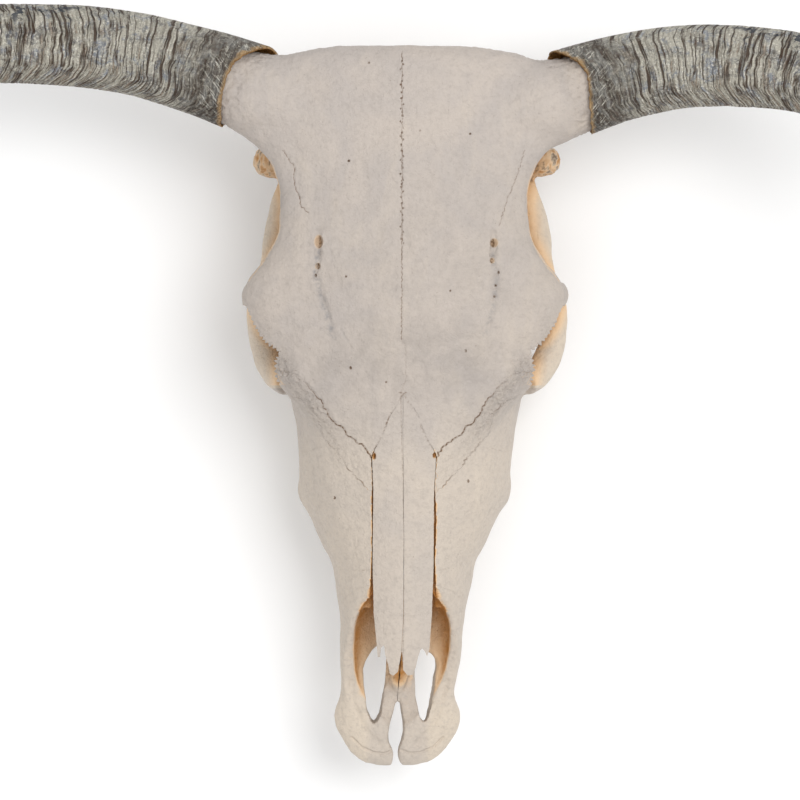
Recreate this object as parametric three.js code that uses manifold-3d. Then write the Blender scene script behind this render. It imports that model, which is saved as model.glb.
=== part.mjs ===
// A life-size bull skull without its lower jaw, with both horn sheaths on their bony cores.
// Millimetres, +Z up. The skull rests on its last molars and its two jugular processes, with the
// muzzle towards -Y and the poll towards +Y, so that the forehead lies level. The origin is in the
// middle of the footprint, on the floor.
//
// Inside this file a place is given as (x, u, z): x is the distance from the midline, positive on
// the animal's left, u is the distance from the poll towards the muzzle and z the height.
import * as THREE from "three";
import { mergeVertices } from "three/addons/utils/BufferGeometryUtils.js";
import Module from "manifold-3d";

const wasm = await Module();
wasm.setup();

// ---------------------------------------------------------------- driving dimensions, mm
const FOREHEAD = 168; // height of the forehead above the floor
const MUZZLE_END = 514; // from the poll to the tip of the premaxillae
const NASION = 243; // from the poll to the rear point of the nasal bones
const SUTURE = 0.3; // gap between two bones
const NASAL_WALL = 5; // thickness of the nasal bones
const TOOTH_ROW = { front: 362, back: 226, frontX: 50, backX: 57.5, rootLift: 26 };
const OCCLUSAL = { rearU: 236, frontZ: 38 }; // the chewing plane meets the floor at rearU
const TEETH = [17, 19, 19, 24, 27, 29]; // lengths from the first premolar to the last molar
const BONE_ON_FLOOR = 1.5; // what is trimmed off the lowest points to give flat feet

// ---------------------------------------------------------------- stations
// Each row is a cross-section: u, half width, top, bottom, height of the widest level.
// The frontal shield, from the poll to in front of the orbits.
const SHIELD = [
  [0, 46, 156, 130, 144],
  [4, 72, 161, 122, 142],
  [10, 96, 165, 114, 141],
  [26, 112, 167, 110, 139],
  [44, 117, 168, 110, 139],
  [58, 116, 168, 112, 141],
  [70, 104, 168, 116, 144],
  [84, 93.5, 168.5, 119, 147],
  [106, 87.5, 168.5, 121, 148],
  [128, 89, 168, 120, 147],
  [148, 98.5, 168, 119, 144],
  [164, 111, 167.5, 120, 142],
  [177, 115.5, 167, 120, 140],
  [186, 111, 166.7, 121, 139],
  [204, 102, 166, 120, 137],
  [213.5, 90.5, 165.5, 119, 136],
  [231, 90.5, 164.5, 117, 131],
  [239, 87, 164, 116, 128],
  [256, 76, 161, 118, 126],
];
// The face, from between the orbits to the front of the muzzle.
const FACE = [
  [190, 36, 160, 92, 126],
  [206, 52, 163, 66, 112],
  [222, 74, 164, 30, 98],
  [236, 85, 164, 21, 92],
  [250, 83.5, 163, 20, 89],
  [270, 79.3, 160.3, 23.5, 84],
  [300, 76.5, 156, 31.5, 77],
  [316, 75.3, 154, 35.5, 74.5],
  [340, 65, 151.7, 43.5, 73],
  [356, 58.5, 150.3, 49.5, 75.5],
  [364, 52.8, 149.5, 52.5, 77.5],
  [386, 48.5, 147.5, 61, 83],
  [412, 44.9, 145.1, 66.8, 87.2],
  [437, 43.4, 142.4, 70.7, 88],
  [450, 41.8, 136, 73, 87.3],
  [460, 41.2, 116, 74.3, 87],
  [468, 42.8, 103, 75.2, 87],
  [477, 44.8, 99.4, 75.6, 86],
  [487, 43.3, 97.3, 76, 85],
  [495, 39.5, 94.8, 77, 84.5],
  [502, 34, 92.3, 78.3, 84],
  [508, 26.5, 89.8, 79.8, 84],
  [MUZZLE_END, 12, 86.5, 82, 84],
];
const FACE_ROUNDNESS = { top: 2.1, low: 3.2 };
// The air space of the nose, cut out from the front.
const NASAL_CAVITY = [
  [288, 8, 138, 84, 108],
  [300, 20, 148, 72, 104],
  [330, 30, 147.5, 68, 100],
  [360, 33, 144.5, 73, 98],
  [386, 36, 142.5, 77, 98],
  [410, 38, 140, 82, 98],
  [440, 36, 131, 86, 98],
  [460, 27, 125, 90, 100],
  [474, 15, 122, 92, 102],
];
// The upright plates behind the palate, seen from the side, as (u, z).
const PTERYGOID_SIDE = [[232, 30], [218, 21], [198, 19], [182, 22], [176, 13], [171, 13], [168, 26],
  [160, 42], [142, 58], [136, 84], [232, 84]];
// The hollow of the hard palate between the tooth rows, open downwards.
const PALATE = [
  [214, 20, 44, -60, 20],
  [232, 38, 40, -60, 16],
  [300, 38, 54, -60, 30],
  [360, 33, 68, -60, 46],
  [410, 25, 75, -60, 58],
  [440, 10, 76, -60, 70],
];
// The floor of the braincase, from the foramen magnum to between the pterygoids.
const SKULL_BASE = [
  [38, 20, 44, 22, 32],
  [60, 22, 50, 23, 38],
  [85, 19, 62, 34, 48],
  [120, 16, 78, 46, 62],
  [160, 17, 92, 56, 76],
  [200, 24, 104, 66, 88],
  [232, 26, 110, 60, 90],
];

// ---------------------------------------------------------------- paths, as (x, u, z) on the left
const HORN_LEFT = [
  [84, 43, 138], [133, 26, 138], [162, 18.2, 138], [192, 13, 141], [222, 12, 146], [252, 14.2, 152],
  [283, 19.5, 160], [318, 32, 175], [350, 49.5, 201], [373, 69.5, 236], [385, 87.5, 276], [388, 100, 318],
  [383, 108, 356],
];
const HORN_RIGHT = [
  [84, 39, 138], [133, 19.3, 138], [160, 11, 138], [190, 3.5, 141], [220, -0.6, 146], [250, -2, 152],
  [283, -1.7, 160], [319, 5.5, 175], [352, 19.5, 201], [377, 37.5, 236], [391, 55.5, 276], [395, 69.5, 318],
  [391, 79.5, 356],
];
const HORN_GIRTH = [36.5, 32, 30.6, 29.8, 29.2, 28.6, 28.1, 26.9, 24.6, 21.1, 16.4, 10.6, 2.2];
const HORN_SQUEEZE = 0.93; // height of the horn's section over its width
const CORE_LEFT = [[70, 42, 134], [96, 39, 138], [116, 33.3, 138], [134, 27, 138], [147, 23, 138]];
const CORE_RIGHT = [[70, 41, 134], [96, 35, 138], [116, 27.3, 138], [134, 20.5, 138], [147, 16, 138]];
const CORE_GIRTH = [33, 32, 28.6, 26.5, 24];

const SOCKET_LEFT = [[60, 46, 136], [94, 38.5, 138], [116, 31.5, 138], [134, 26, 138], [150, 21.5, 138]];
const SOCKET_RIGHT = [[60, 45, 136], [94, 35, 138], [116, 26, 138], [134, 19.5, 138], [150, 14.5, 138]];
const SOCKET_GIRTH = [38, 33.8, 31.2, 28.6, 25.4];
const MOUTH = [[0, -60], [94, -60], [94, 3], [107, 6], [116, 15], [121.5, 33], [128.5, 56], [133, 90], [0, 90]];

const ARCH = [
  [85, 236, 96], [92, 229, 83], [97.5, 221, 76], [102.5, 210, 71.5], [106.5, 196, 70], [108.5, 182, 72],
  [104, 166, 75], [96.5, 148, 75], [95.5, 132, 74], [91.5, 114, 74], [86, 98, 74], [80, 84, 73],
];
const ARCH_GIRTH = [[9, 10], [8, 10], [7.5, 10.5], [7, 11], [7, 11], [7.5, 11], [7.5, 9.5], [9.5, 8.5],
  [10, 8], [10, 8], [10, 9], [10, 11]];
const BAR = [[106, 175, 144], [110.5, 174, 126], [111, 173, 108], [109.5, 173, 90], [106.5, 175, 76]];
const BAR_GIRTH = [[8, 12], [6, 9.5], [5.5, 8.5], [6, 9.5], [7, 12]];
const JUGULAR = [[74, 58, 66], [72, 60, 44], [67, 61, 22], [60, 59, 6], [56, 57, -BONE_ON_FLOOR - 3]];
const JUGULAR_GIRTH = [[15, 9], [12, 8], [9, 6.5], [7.5, 5.5], [6, 4.5]];

// ---------------------------------------------------------------- geometry helpers
// The skull isn't quite even: low down, the cheeks lie a little to the left and the muzzle to the right.
const LEAN_DEPTH = 90;
const leanAt = smoothCurve([250, 345, 405, 462], [3, 0.45, -0.35, -4.6]);
function lean(point) {
  point.x += leanAt(-point.y) * Math.max(0, (FOREHEAD - point.z) / LEAN_DEPTH);
  return point;
}
const place = (x, u, z) => new THREE.Vector3(x, -u, z);
const power = (value, exponent) => Math.sign(value) * Math.abs(value) ** exponent;

// A curve through (x, y) pairs that never overshoots them, as a function of x.
function smoothCurve(xs, ys) {
  const slopes = xs.slice(1).map((x, i) => (ys[i + 1] - ys[i]) / (x - xs[i]));
  const tangents = xs.map((_, i) => {
    const [before, after] = [slopes[i - 1] ?? slopes[i], slopes[i] ?? slopes[i - 1]];
    return before * after <= 0 ? 0 : (2 * before * after) / (before + after);
  });
  return (x) => {
    let i = xs.findIndex((limit) => limit > x) - 1;
    if (i < 0) i = x < xs[0] ? 0 : xs.length - 2;
    const span = xs[i + 1] - xs[i];
    const t = THREE.MathUtils.clamp((x - xs[i]) / span, 0, 1);
    const rest = 1 - t;
    return (
      ys[i] * (1 + 2 * t) * rest * rest + tangents[i] * span * t * rest * rest +
      ys[i + 1] * t * t * (3 - 2 * t) - tangents[i + 1] * span * t * t * rest
    );
  };
}

// A closed surface over rings of points, with a fan at each end.
function skin(rings) {
  const sides = rings[0].length;
  const middle = (ring) => ring.reduce((sum, p) => sum.add(p), new THREE.Vector3()).divideScalar(sides);
  const points = [...rings.flat(), middle(rings[0]), middle(rings.at(-1))];
  const [firstMiddle, lastMiddle] = [points.length - 2, points.length - 1];
  const lastRing = (rings.length - 1) * sides;
  const index = [];
  for (let side = 0; side < sides; side++) {
    const next = (side + 1) % sides;
    for (let row = 0; row < lastRing; row += sides) {
      index.push(row + side, row + next, row + side + sides);
      index.push(row + next, row + next + sides, row + side + sides);
    }
    index.push(firstMiddle, next, side);
    index.push(lastMiddle, lastRing + side, lastRing + next);
  }
  return new THREE.BufferGeometry().setFromPoints(points).setIndex(index);
}

// A geometry as a solid that can be joined and cut.
function closedSolid(geometry, weld) {
  const bare = new THREE.BufferGeometry();
  bare.setAttribute("position", geometry.getAttribute("position"));
  bare.setIndex(geometry.index);
  const merged = mergeVertices(bare, weld);
  const faces = [];
  for (let i = 0; i < merged.index.count; i += 3) {
    const [a, b, c] = [0, 1, 2].map((k) => merged.index.getX(i + k));
    if (a !== b && b !== c && c !== a) faces.push([a, b, c]);
  }
  const build = (list) =>
    new wasm.Manifold(
      new wasm.Mesh({
        numProp: 3,
        vertProperties: new Float32Array(merged.getAttribute("position").array),
        triVerts: new Uint32Array(list.flat()),
      }),
    );
  const solid = build(faces);
  return solid.volume() < 0 ? build(faces.map(([a, b, c]) => [a, c, b])) : solid;
}

// The same for a shape that belongs to the skull, which leans as the skull does.
function solidOf(geometry) {
  const position = geometry.getAttribute("position");
  for (let i = 0; i < position.count; i++) {
    const point = lean(new THREE.Vector3().fromBufferAttribute(position, i));
    position.setXYZ(i, ...point.toArray());
  }
  return closedSolid(geometry, 1e-4);
}

const join = (...solids) => solids.flat().reduce((whole, solid) => whole.add(solid));
const cut = (whole, ...tools) => tools.flat().reduce((left, tool) => left.subtract(tool), whole);

// The biggest of the bodies that a cut leaves.
const largest = (solid) => solid.decompose().sort((a, b) => b.volume() - a.volume())[0];

// An outline moved outwards by a gap on every side.
function widened(outline, gap) {
  const points = outline.map(([a, b]) => new THREE.Vector2(a, b));
  const outwards = THREE.ShapeUtils.area(points) > 0 ? gap : -gap;
  const normal = (from, to) => {
    const along = to.clone().sub(from).normalize();
    return new THREE.Vector2(along.y, -along.x);
  };
  return points.map((point, i) => {
    const before = normal(points.at(i - 1), point);
    const after = normal(point, points[(i + 1) % points.length]);
    const corner = before.clone().add(after).multiplyScalar(outwards / (1 + before.dot(after)));
    return corner.add(point).toArray();
  });
}

// A solid over stations of (u, half width, top, bottom, widest level), rounded by two exponents.
function loft(stations, { sides, top = 2.4, low = 2.4 }) {
  return solidOf(skin(stations.map(([u, half, crown, base, wide]) =>
    Array.from({ length: sides }, (_, side) => {
      const angle = (2 * Math.PI * side) / sides;
      const [c, s] = [Math.cos(angle), Math.sin(angle)];
      const exponent = 2 / (s > 0 ? top : low);
      const height = s > 0 ? crown - wide : wide - base;
      return place(half * power(c, exponent), u, wide + height * power(s, exponent));
    }))));
}

// A solid along a path, with a girth of [across, upright] half sizes at each of its points.
function sweep(path, girth, { rings, sides, flip = 1, upright = [0, 0, 1] }) {
  const places = path.map(([x, u, z]) => place(x * flip, u, z));
  const curve = new THREE.CatmullRomCurve3(places, false, "centripetal");
  const steps = girth.map((_, i) => i / (girth.length - 1));
  const [across, high] = [0, 1].map((k) => smoothCurve(steps, girth.map((size) => size[k])));
  const guide = new THREE.Vector3(...upright);
  return solidOf(skin(Array.from({ length: rings }, (_, row) => {
    const t = row / (rings - 1);
    const centre = curve.getPoint(t);
    const side = curve.getTangent(t).cross(guide).normalize();
    const rise = side.clone().cross(curve.getTangent(t)).normalize();
    return Array.from({ length: sides }, (_, k) => {
      const angle = (2 * Math.PI * k) / sides;
      return centre.clone()
        .addScaledVector(side, across(t) * Math.cos(angle))
        .addScaledVector(rise, high(t) * Math.sin(angle));
    });
  })));
}

// An egg shape, or with an exponent over 2 a rounded block, turned about X, Y and Z in degrees.
function lump([x, u, z], [rx, ru, rz], { sides = 16, exponent = 2, turn = [0, 0, 0], flip = 1 } = {}) {
  const geometry = new THREE.SphereGeometry(1, sides, Math.round(sides * 0.6));
  const position = geometry.getAttribute("position");
  for (let i = 0; i < position.count; i++) {
    const p = new THREE.Vector3().fromBufferAttribute(position, i);
    const size = Math.abs(p.x) ** exponent + Math.abs(p.y) ** exponent + Math.abs(p.z) ** exponent;
    p.multiplyScalar(size ** (-1 / exponent));
    position.setXYZ(i, p.x, p.y, p.z);
  }
  const radians = turn.map((angle, axis) => THREE.MathUtils.degToRad(axis === 0 ? angle : angle * flip));
  geometry.rotateX(Math.PI / 2).scale(rx, ru, rz);
  geometry.rotateX(radians[0]).rotateY(radians[1]).rotateZ(radians[2]);
  return solidOf(geometry.translate(x * flip, -u, z));
}

// A prism over an outline in plan, given as (x, u) pairs, between two heights.
function planPrism(outline, low, high, flip = 1) {
  const shape = new THREE.Shape(outline.map(([x, u]) => new THREE.Vector2(x * flip, -u)));
  const geometry = new THREE.ExtrudeGeometry(shape, { depth: high - low, bevelEnabled: false });
  return solidOf(geometry.translate(0, 0, low));
}

// A prism over an outline seen from the side, given as (u, z) pairs, between two distances x.
function sidePrism(outline, near, far, flip = 1) {
  const shape = new THREE.Shape(outline.map(([u, z]) => new THREE.Vector2(-u, z)));
  const geometry = new THREE.ExtrudeGeometry(shape, { depth: far - near, bevelEnabled: false });
  const turned = new THREE.Matrix4().makeBasis(
    new THREE.Vector3(0, 1, 0), new THREE.Vector3(0, 0, 1), new THREE.Vector3(1, 0, 0));
  return solidOf(geometry.applyMatrix4(turned).translate(flip > 0 ? near : -far, 0, 0));
}

const bothSides = (make) => [make(1), make(-1)];

// ---------------------------------------------------------------- the upper head
// The forehead shield with the two bony horn cores that grow out of its corners.
function shieldWithCores() {
  const girth = CORE_GIRTH.map((r) => [r, r * HORN_SQUEEZE]);
  const core = (flip) => sweep(flip > 0 ? CORE_LEFT : CORE_RIGHT, girth, { rings: 5, sides: 12, flip });
  return join(loft(SHIELD, { sides: 12, top: 2.5, low: 2.2 }), bothSides(core));
}

// The braincase, the nape's wall and the bones of the ear.
function braincase() {
  const nape = lump([0, 49, 96], [97, 27, 64], { sides: 12, exponent: 2.8, turn: [13, 0, 0] });
  const brain = join(
    lump([0, 98, 98], [62, 86, 56], { sides: 10 }),
    lump([0, 182, 106], [40, 52, 38], { sides: 8 }));
  const ears = bothSides((flip) => join(
    lump([96, 74, 73], [16.5, 12, 15], { sides: 6, exponent: 2.3, flip }),
    lump([46, 80, 34], [10, 15, 20], { sides: 6, turn: [-12, 0, 0], flip }),
    sweep([[50, 74, 62], [84, 75, 68], [106, 76, 75]], [[12, 13], [10, 11], [6, 7]], { rings: 3, sides: 5, flip })));
  const condyles = bothSides((flip) =>
    lump([31, 32, 40], [19, 21, 27], { sides: 6, turn: [10, 16, 24], flip }));
  return join(nape, brain, loft(SKULL_BASE, { sides: 6 }), ears, condyles);
}

const jugulars = () => bothSides((flip) =>
  sweep(JUGULAR, JUGULAR_GIRTH, { rings: 5, sides: 6, flip, upright: [0, 1, 0] }));

// The thin upright plates behind the palate, on both sides of the inner nostrils.
const pterygoids = () => bothSides((flip) => sidePrism(PTERYGOID_SIDE, 20.5, 25.5, flip));

// ---------------------------------------------------------------- hollows
const ORBIT = { centre: [90, 210, 106], size: [48, 33, 30] };
const orbits = () => bothSides((flip) =>
  lump(ORBIT.centre, ORBIT.size, { sides: 12, exponent: 2.2, turn: [0, 8, -6], flip }));

// The hollow for the chewing muscle behind the orbit, under the forehead's side edge.
const temporalHollows = () => bothSides((flip) =>
  lump([101, 128, 105], [42, 47, 31], { sides: 10, exponent: 2.3, turn: [0, 6, 8], flip }));

const foramenMagnum = () => lump([0, 34, 49], [19, 34, 18], { sides: 10, exponent: 2.2, turn: [12, 0, 0] });

// What is open above the side walls of the nose, in front of the nasal bones' roots.
function noseOpening() {
  const edge = [[372, 160], [378, 147], [388, 138], [402, 129], [418, 116], [434, 106], [452, 99],
    [472, 94.5], [476, 160]];
  return sidePrism(edge, -80, 80);
}

// The long openings through the palate on both sides of the midline, and the cleft at the front.
function palatalOpenings() {
  const left = [[13, 425], [21, 424], [25.6, 430], [26.2, 440], [24.6, 458], [23, 470], [20, 480.5], [16, 476],
    [13.5, 462], [11.6, 445]];
  const right = [[11, 425], [19, 424], [24, 429], [26.2, 440], [24.2, 458], [22, 472], [17, 481], [12.5, 474],
    [10.2, 460], [9.8, 441]];
  const cleft = [[0, 471], [4.6, 480], [4.8, 494], [0.9, 506], [2.6, 514], [2.6, 530],
    [-2.6, 530], [-2.6, 514], [-1.8, 507], [-6, 493], [-4.6, 482]];
  return [planPrism(left, 40, 130), planPrism(right, 40, 130, -1), planPrism(cleft, 40, 130)];
}

// ---------------------------------------------------------------- teeth
// The upper cheek teeth of one side, each a rounded block with its crown on the chewing plane.
function toothRow(flip) {
  const length = TEETH.reduce((sum, size) => sum + size);
  const span = TOOTH_ROW.front - TOOTH_ROW.back;
  let front = TOOTH_ROW.front;
  const crownZ = (u) => (OCCLUSAL.frontZ * (u - OCCLUSAL.rearU)) / (TOOTH_ROW.front - OCCLUSAL.rearU);
  return TEETH.map((size, i) => {
    const long = (size * span) / length;
    const u = front - long / 2;
    front -= long;
    const along = (TOOTH_ROW.front - u) / span;
    const x = THREE.MathUtils.lerp(TOOTH_ROW.frontX, TOOTH_ROW.backX, along) + 3 * Math.sin(Math.PI * along);
    const wide = THREE.MathUtils.lerp(8, 11, i / (TEETH.length - 1));
    const rings = [[0, 1], [1, 0.94]].map(([rise, swell]) =>
      Array.from({ length: 6 }, (_, k) => {
        const angle = (2 * Math.PI * k) / 6;
        const du = long * 0.49 * swell * power(Math.sin(angle), 0.5);
        const dx = wide * swell * power(Math.cos(angle), 0.5);
        return place((x + dx) * flip, u + du, crownZ(u + du) + rise * TOOTH_ROW.rootLift);
      }));
    return solidOf(skin(rings));
  });
}

// ---------------------------------------------------------------- the whole skull
function wholeSkull() {
  const face = loft(FACE, { sides: 14, ...FACE_ROUNDNESS });
  const tuberosity = bothSides((flip) => lump([66, 312, 73], [12, 19, 12], { sides: 6, flip }));
  const massive = cut(
    join(shieldWithCores(), braincase(), face, tuberosity),
    orbits(), temporalHollows());
  const arches = bothSides((flip) => sweep(ARCH, ARCH_GIRTH, { rings: 11, sides: 6, flip }));
  const bars = bothSides((flip) => sweep(BAR, BAR_GIRTH, { rings: 4, sides: 6, flip, upright: [0, 1, 0] }));
  const hollows = [
    loft(PALATE, { sides: 8, top: 3 }),
    foramenMagnum(),
    ...palatalOpenings(),
  ];
  const shaped = cut(join(massive, pterygoids(), arches, bars), hollows);
  const floor = planPrism([[-200, -50], [200, -50], [200, 600], [-200, 600]], -60, 0);
  return cut(join(shaped, jugulars(), toothRow(1), toothRow(-1)), floor);
}

// ---------------------------------------------------------------- parting into bones
const NASAL_OUTLINE = [
  [-3, 243], [0, 244], [5, 254], [11, 266], [18, 280], [22.5, 289], [21.4, 316], [21.6, 362], [20.6, 402],
  [19.4, 420], [18.8, 430], [16.8, 430], [15.4, 425], [13.6, 430], [12, 440], [9.5, 444.5], [5, 444.5],
  [1.4, 438], [0, 426], [-3, 426],
];
const NASAL_DEPTH = [[230, 156.5], [290, 151.5], [360, 144], [410, 139], [450, 131], [450, 175], [230, 180]];
const LACRIMAL_OUTLINE = [
  [23, 289], [34.5, 276.5], [43.5, 267], [53.5, 259], [57.5, 250], [67, 239], [77, 230], [100, 226],
  [104, 238], [84, 244], [71, 249], [62, 260], [58.5, 274], [45, 288.5], [34, 302], [22, 314],
];
const PREMAXILLA_SIDE = [[376, 170], [382, 138], [392, 112], [412, 94], [462, 60], [540, 50], [540, 170]];
const ZYGOMATIC_SIDE = [
  [92, 100], [92, 50], [232, 50], [268, 62], [284, 80], [286, 112], [282, 134], [262, 134], [250, 124],
  [244, 108], [190, 108], [168, 112],
];
const MAXILLA_SIDE = [[226, -10], [226, 46], [240, 60], [240, 175], [560, 175], [560, -10]];
const PALATINE_SIDE = [[140, -10], [140, 50], [168, 62], [226, 80], [242, 60], [242, -10]];
const FRONTAL_SIDE = [
  [-90, 110], [60, 110], [90, 118], [165, 118], [184, 114], [214, 114], [242, 122], [310, 122],
  [310, 190], [-90, 190],
];
const FRONTAL_HALF = [
  [170, -90], [170, 224], [100, 226], [77, 230], [67, 239], [57.5, 250], [53.5, 259], [43.5, 267],
  [34.5, 276.5], [23, 289],
];
const LACRIMAL_DEPTH = [[220, 104], [330, 104], [330, 200], [220, 200]];

// The part of a bone's outline in plan on one side, down to a depth.
const planBlock = (outline, gap, flip) => planPrism(widened(outline, gap), -40, 220, flip);
const sideBlock = (outline, gap, near, flip) => sidePrism(widened(outline, gap), near - gap, 180, flip);

// What each bone takes of the whole, in this order, wider by a gap where it is cut away.
const MIDLINE = SUTURE / 2;
const PAIRED_FIRST = {
  nasal: (gap, flip) => planBlock(NASAL_OUTLINE, gap, flip)
    .intersect(sideBlock(NASAL_DEPTH, gap, MIDLINE, flip)),
};
const PAIRED = {
  premaxilla: (gap, flip) => sideBlock(PREMAXILLA_SIDE, gap, MIDLINE, flip),
  lacrimal: (gap, flip) => planBlock(LACRIMAL_OUTLINE, gap, flip)
    .intersect(sideBlock(LACRIMAL_DEPTH, gap, 10, flip)),
  zygomatic: (gap, flip) => sideBlock(ZYGOMATIC_SIDE, gap, 52, flip),
};
const SINGLE = {
  frontal: (gap) => planBlock([...FRONTAL_HALF, ...FRONTAL_HALF.map(([x, u]) => [-x, u]).reverse()], gap, 1)
    .intersect(sidePrism(widened(FRONTAL_SIDE, gap), -180, 180)),
};
const JAW = { maxilla: (gap, flip) => sideBlock(MAXILLA_SIDE, gap, MIDLINE, flip) };
const PALATE_BONE = { palatine: (gap) => sidePrism(widened(PALATINE_SIDE, gap), -60 - gap, 60 + gap) };

// The named bones, parted from the whole one after another by thin cuts.
function bones(whole) {
  const parts = new Map();
  let left = whole;
  const take = (name, region, flip) => {
    parts.set(name, largest(left.intersect(region(0, flip))));
    left = left.subtract(region(SUTURE, flip));
  };
  const takePairs = (regions) =>
    Object.entries(regions).forEach(([name, region]) => {
      take(`${name}_left`, region, 1);
      take(`${name}_right`, region, -1);
    });
  takePairs(PAIRED_FIRST);
  left = cut(left, loft(NASAL_CAVITY, { sides: 10 }), noseOpening());
  takePairs(PAIRED);
  take("frontal", SINGLE.frontal);
  takePairs(JAW);
  take("palatine", PALATE_BONE.palatine);
  parts.set("braincase", largest(left));
  return parts;
}

// A horn sheath: a curved cone of horn with a slanting mouth around its bony core.
function hornSheath(path, flip) {
  const girth = HORN_GIRTH.map((r) => [r, r * HORN_SQUEEZE]);
  const outside = sweep(path, girth, { rings: 14, sides: 12, flip });
  const hollow = SOCKET_GIRTH.map((r) => [r, r * HORN_SQUEEZE]);
  const socket = sweep(flip > 0 ? SOCKET_LEFT : SOCKET_RIGHT, hollow, { rings: 5, sides: 12, flip });
  return cut(outside, socket, planPrism(MOUTH, -20, 300, flip));
}

// ---------------------------------------------------------------- materials and the group
const BONE = { color: 0xd9d0c3, roughness: 0.62, metalness: 0 };
const WARM_BONE = { color: 0xcdb593, roughness: 0.66, metalness: 0 };
const HORN = { color: 0x85827a, roughness: 0.58, metalness: 0 };

// The surface of a solid as a geometry with flat faces.
function surfaceOf(solid) {
  const { vertProperties, triVerts, numProp } = solid.getMesh();
  const geometry = new THREE.BufferGeometry();
  const points = Array.from({ length: vertProperties.length / numProp }, (_, i) =>
    new THREE.Vector3().fromArray(vertProperties, i * numProp));
  return geometry.setFromPoints(points).setIndex(Array.from(triVerts));
}

function meshOf(name, solid, look) {
  const tidy = largest(closedSolid(surfaceOf(solid), 1.1e-3));
  const faceted = surfaceOf(tidy).toNonIndexed();
  faceted.computeVertexNormals();
  const mesh = new THREE.Mesh(faceted, new THREE.MeshStandardMaterial(look));
  mesh.name = name;
  return mesh;
}

const skull = new THREE.Group();
for (const [name, solid] of bones(wholeSkull())) {
  const look = /palatine|braincase|zygomatic/.test(name) ? WARM_BONE : BONE;
  skull.add(meshOf(name, solid, look));
}
skull.add(meshOf("horn_left", hornSheath(HORN_LEFT, 1), HORN));
skull.add(meshOf("horn_right", hornSheath(HORN_RIGHT, -1), HORN));

// The origin goes to the middle of the footprint.
const extent = new THREE.Box3().setFromObject(skull);
const centre = extent.getCenter(new THREE.Vector3());
skull.position.set(-centre.x, -centre.y, -extent.min.z);

export default skull;
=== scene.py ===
"""A bull's skull without its lower jaw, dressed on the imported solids.

Places inside this file are (x, u, z) in millimetres, as a preparator measures a skull: x from the
midline, positive on the animal's left, u from the poll towards the muzzle, z up from the floor.
"""
import logging
import math
from contextlib import contextmanager
from dataclasses import dataclass, field
from enum import Enum
from typing import Callable, Iterator, Sequence

import bpy
import numpy as np
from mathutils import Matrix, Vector, noise
from mathutils.kdtree import KDTree


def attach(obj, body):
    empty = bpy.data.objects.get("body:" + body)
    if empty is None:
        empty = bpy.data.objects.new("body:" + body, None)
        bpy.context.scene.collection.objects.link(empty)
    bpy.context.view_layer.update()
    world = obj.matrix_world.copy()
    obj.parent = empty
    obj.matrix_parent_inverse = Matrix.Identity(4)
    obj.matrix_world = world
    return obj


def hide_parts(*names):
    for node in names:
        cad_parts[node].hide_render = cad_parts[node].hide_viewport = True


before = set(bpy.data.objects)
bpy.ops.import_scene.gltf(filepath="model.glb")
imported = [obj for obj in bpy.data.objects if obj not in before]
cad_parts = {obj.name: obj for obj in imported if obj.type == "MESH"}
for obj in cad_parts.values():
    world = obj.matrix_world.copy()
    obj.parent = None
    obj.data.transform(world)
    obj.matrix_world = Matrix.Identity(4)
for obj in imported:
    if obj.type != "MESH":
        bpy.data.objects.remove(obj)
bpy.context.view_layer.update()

log = logging.getLogger("bull_skull")

Place = tuple[float, float, float]
Outline = Sequence[tuple[float, float]]
Piece = bpy.types.Object
Socket = bpy.types.NodeSocket

MM = 0.001
FOOTPRINT = (3.0997, 241.6475)  # from the midline and the poll to the origin
FOREHEAD = 168.0
MUZZLE_END = 514.6
LEAN_DEPTH = 90.0
DETAIL = 1.5  # edge length of the fine surface, mm
SUTURE = 0.1  # width of the gap between two bones
SLIT = 0.3  # least width of the slits around the nasal bones
GROUND = 0.05  # where the lowest bones are cut level
BELOW, ABOVE, BESIDE = -40.0, 220.0, 180.0  # past the skull's own floor, crown and sides


class Side(Enum):
    """The animal's two sides, with the sign that x has there."""

    LEFT = 1
    RIGHT = -1

    @property
    def label(self) -> str:
        """The side's name in lower case, as in the piece names."""
        return self.name.lower()


# ------------------------------------------------------------------ places and curves


def lean(u: np.ndarray, z: np.ndarray) -> np.ndarray:
    """How far the skull's small twist moves a place to its left, for its u and z."""
    amount = smooth_curve((250, 345, 405, 462), (3, 0.45, -0.35, -4.6))
    return amount(u) * np.maximum(0.0, (FOREHEAD - z) / LEAN_DEPTH)


def settle(points: np.ndarray) -> np.ndarray:
    """Turns skull places into scene places, with the small twist that this skull has.

    Args:
        points: An array of (x, u, z) rows in millimetres.

    Returns:
        The same places in metres, in the frame of the solids.
    """
    x, u, z = points[:, 0], points[:, 1], points[:, 2]
    return np.stack([x + lean(u, z) + FOOTPRINT[0], FOOTPRINT[1] - u, z], axis=1) * MM


def measured(points: np.ndarray) -> np.ndarray:
    """Turns scene places back into skull places, the inverse of settle."""
    u = FOOTPRINT[1] - points[:, 1] / MM
    z = points[:, 2] / MM
    return np.stack([points[:, 0] / MM - FOOTPRINT[0] - lean(u, z), u, z], axis=1)


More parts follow.
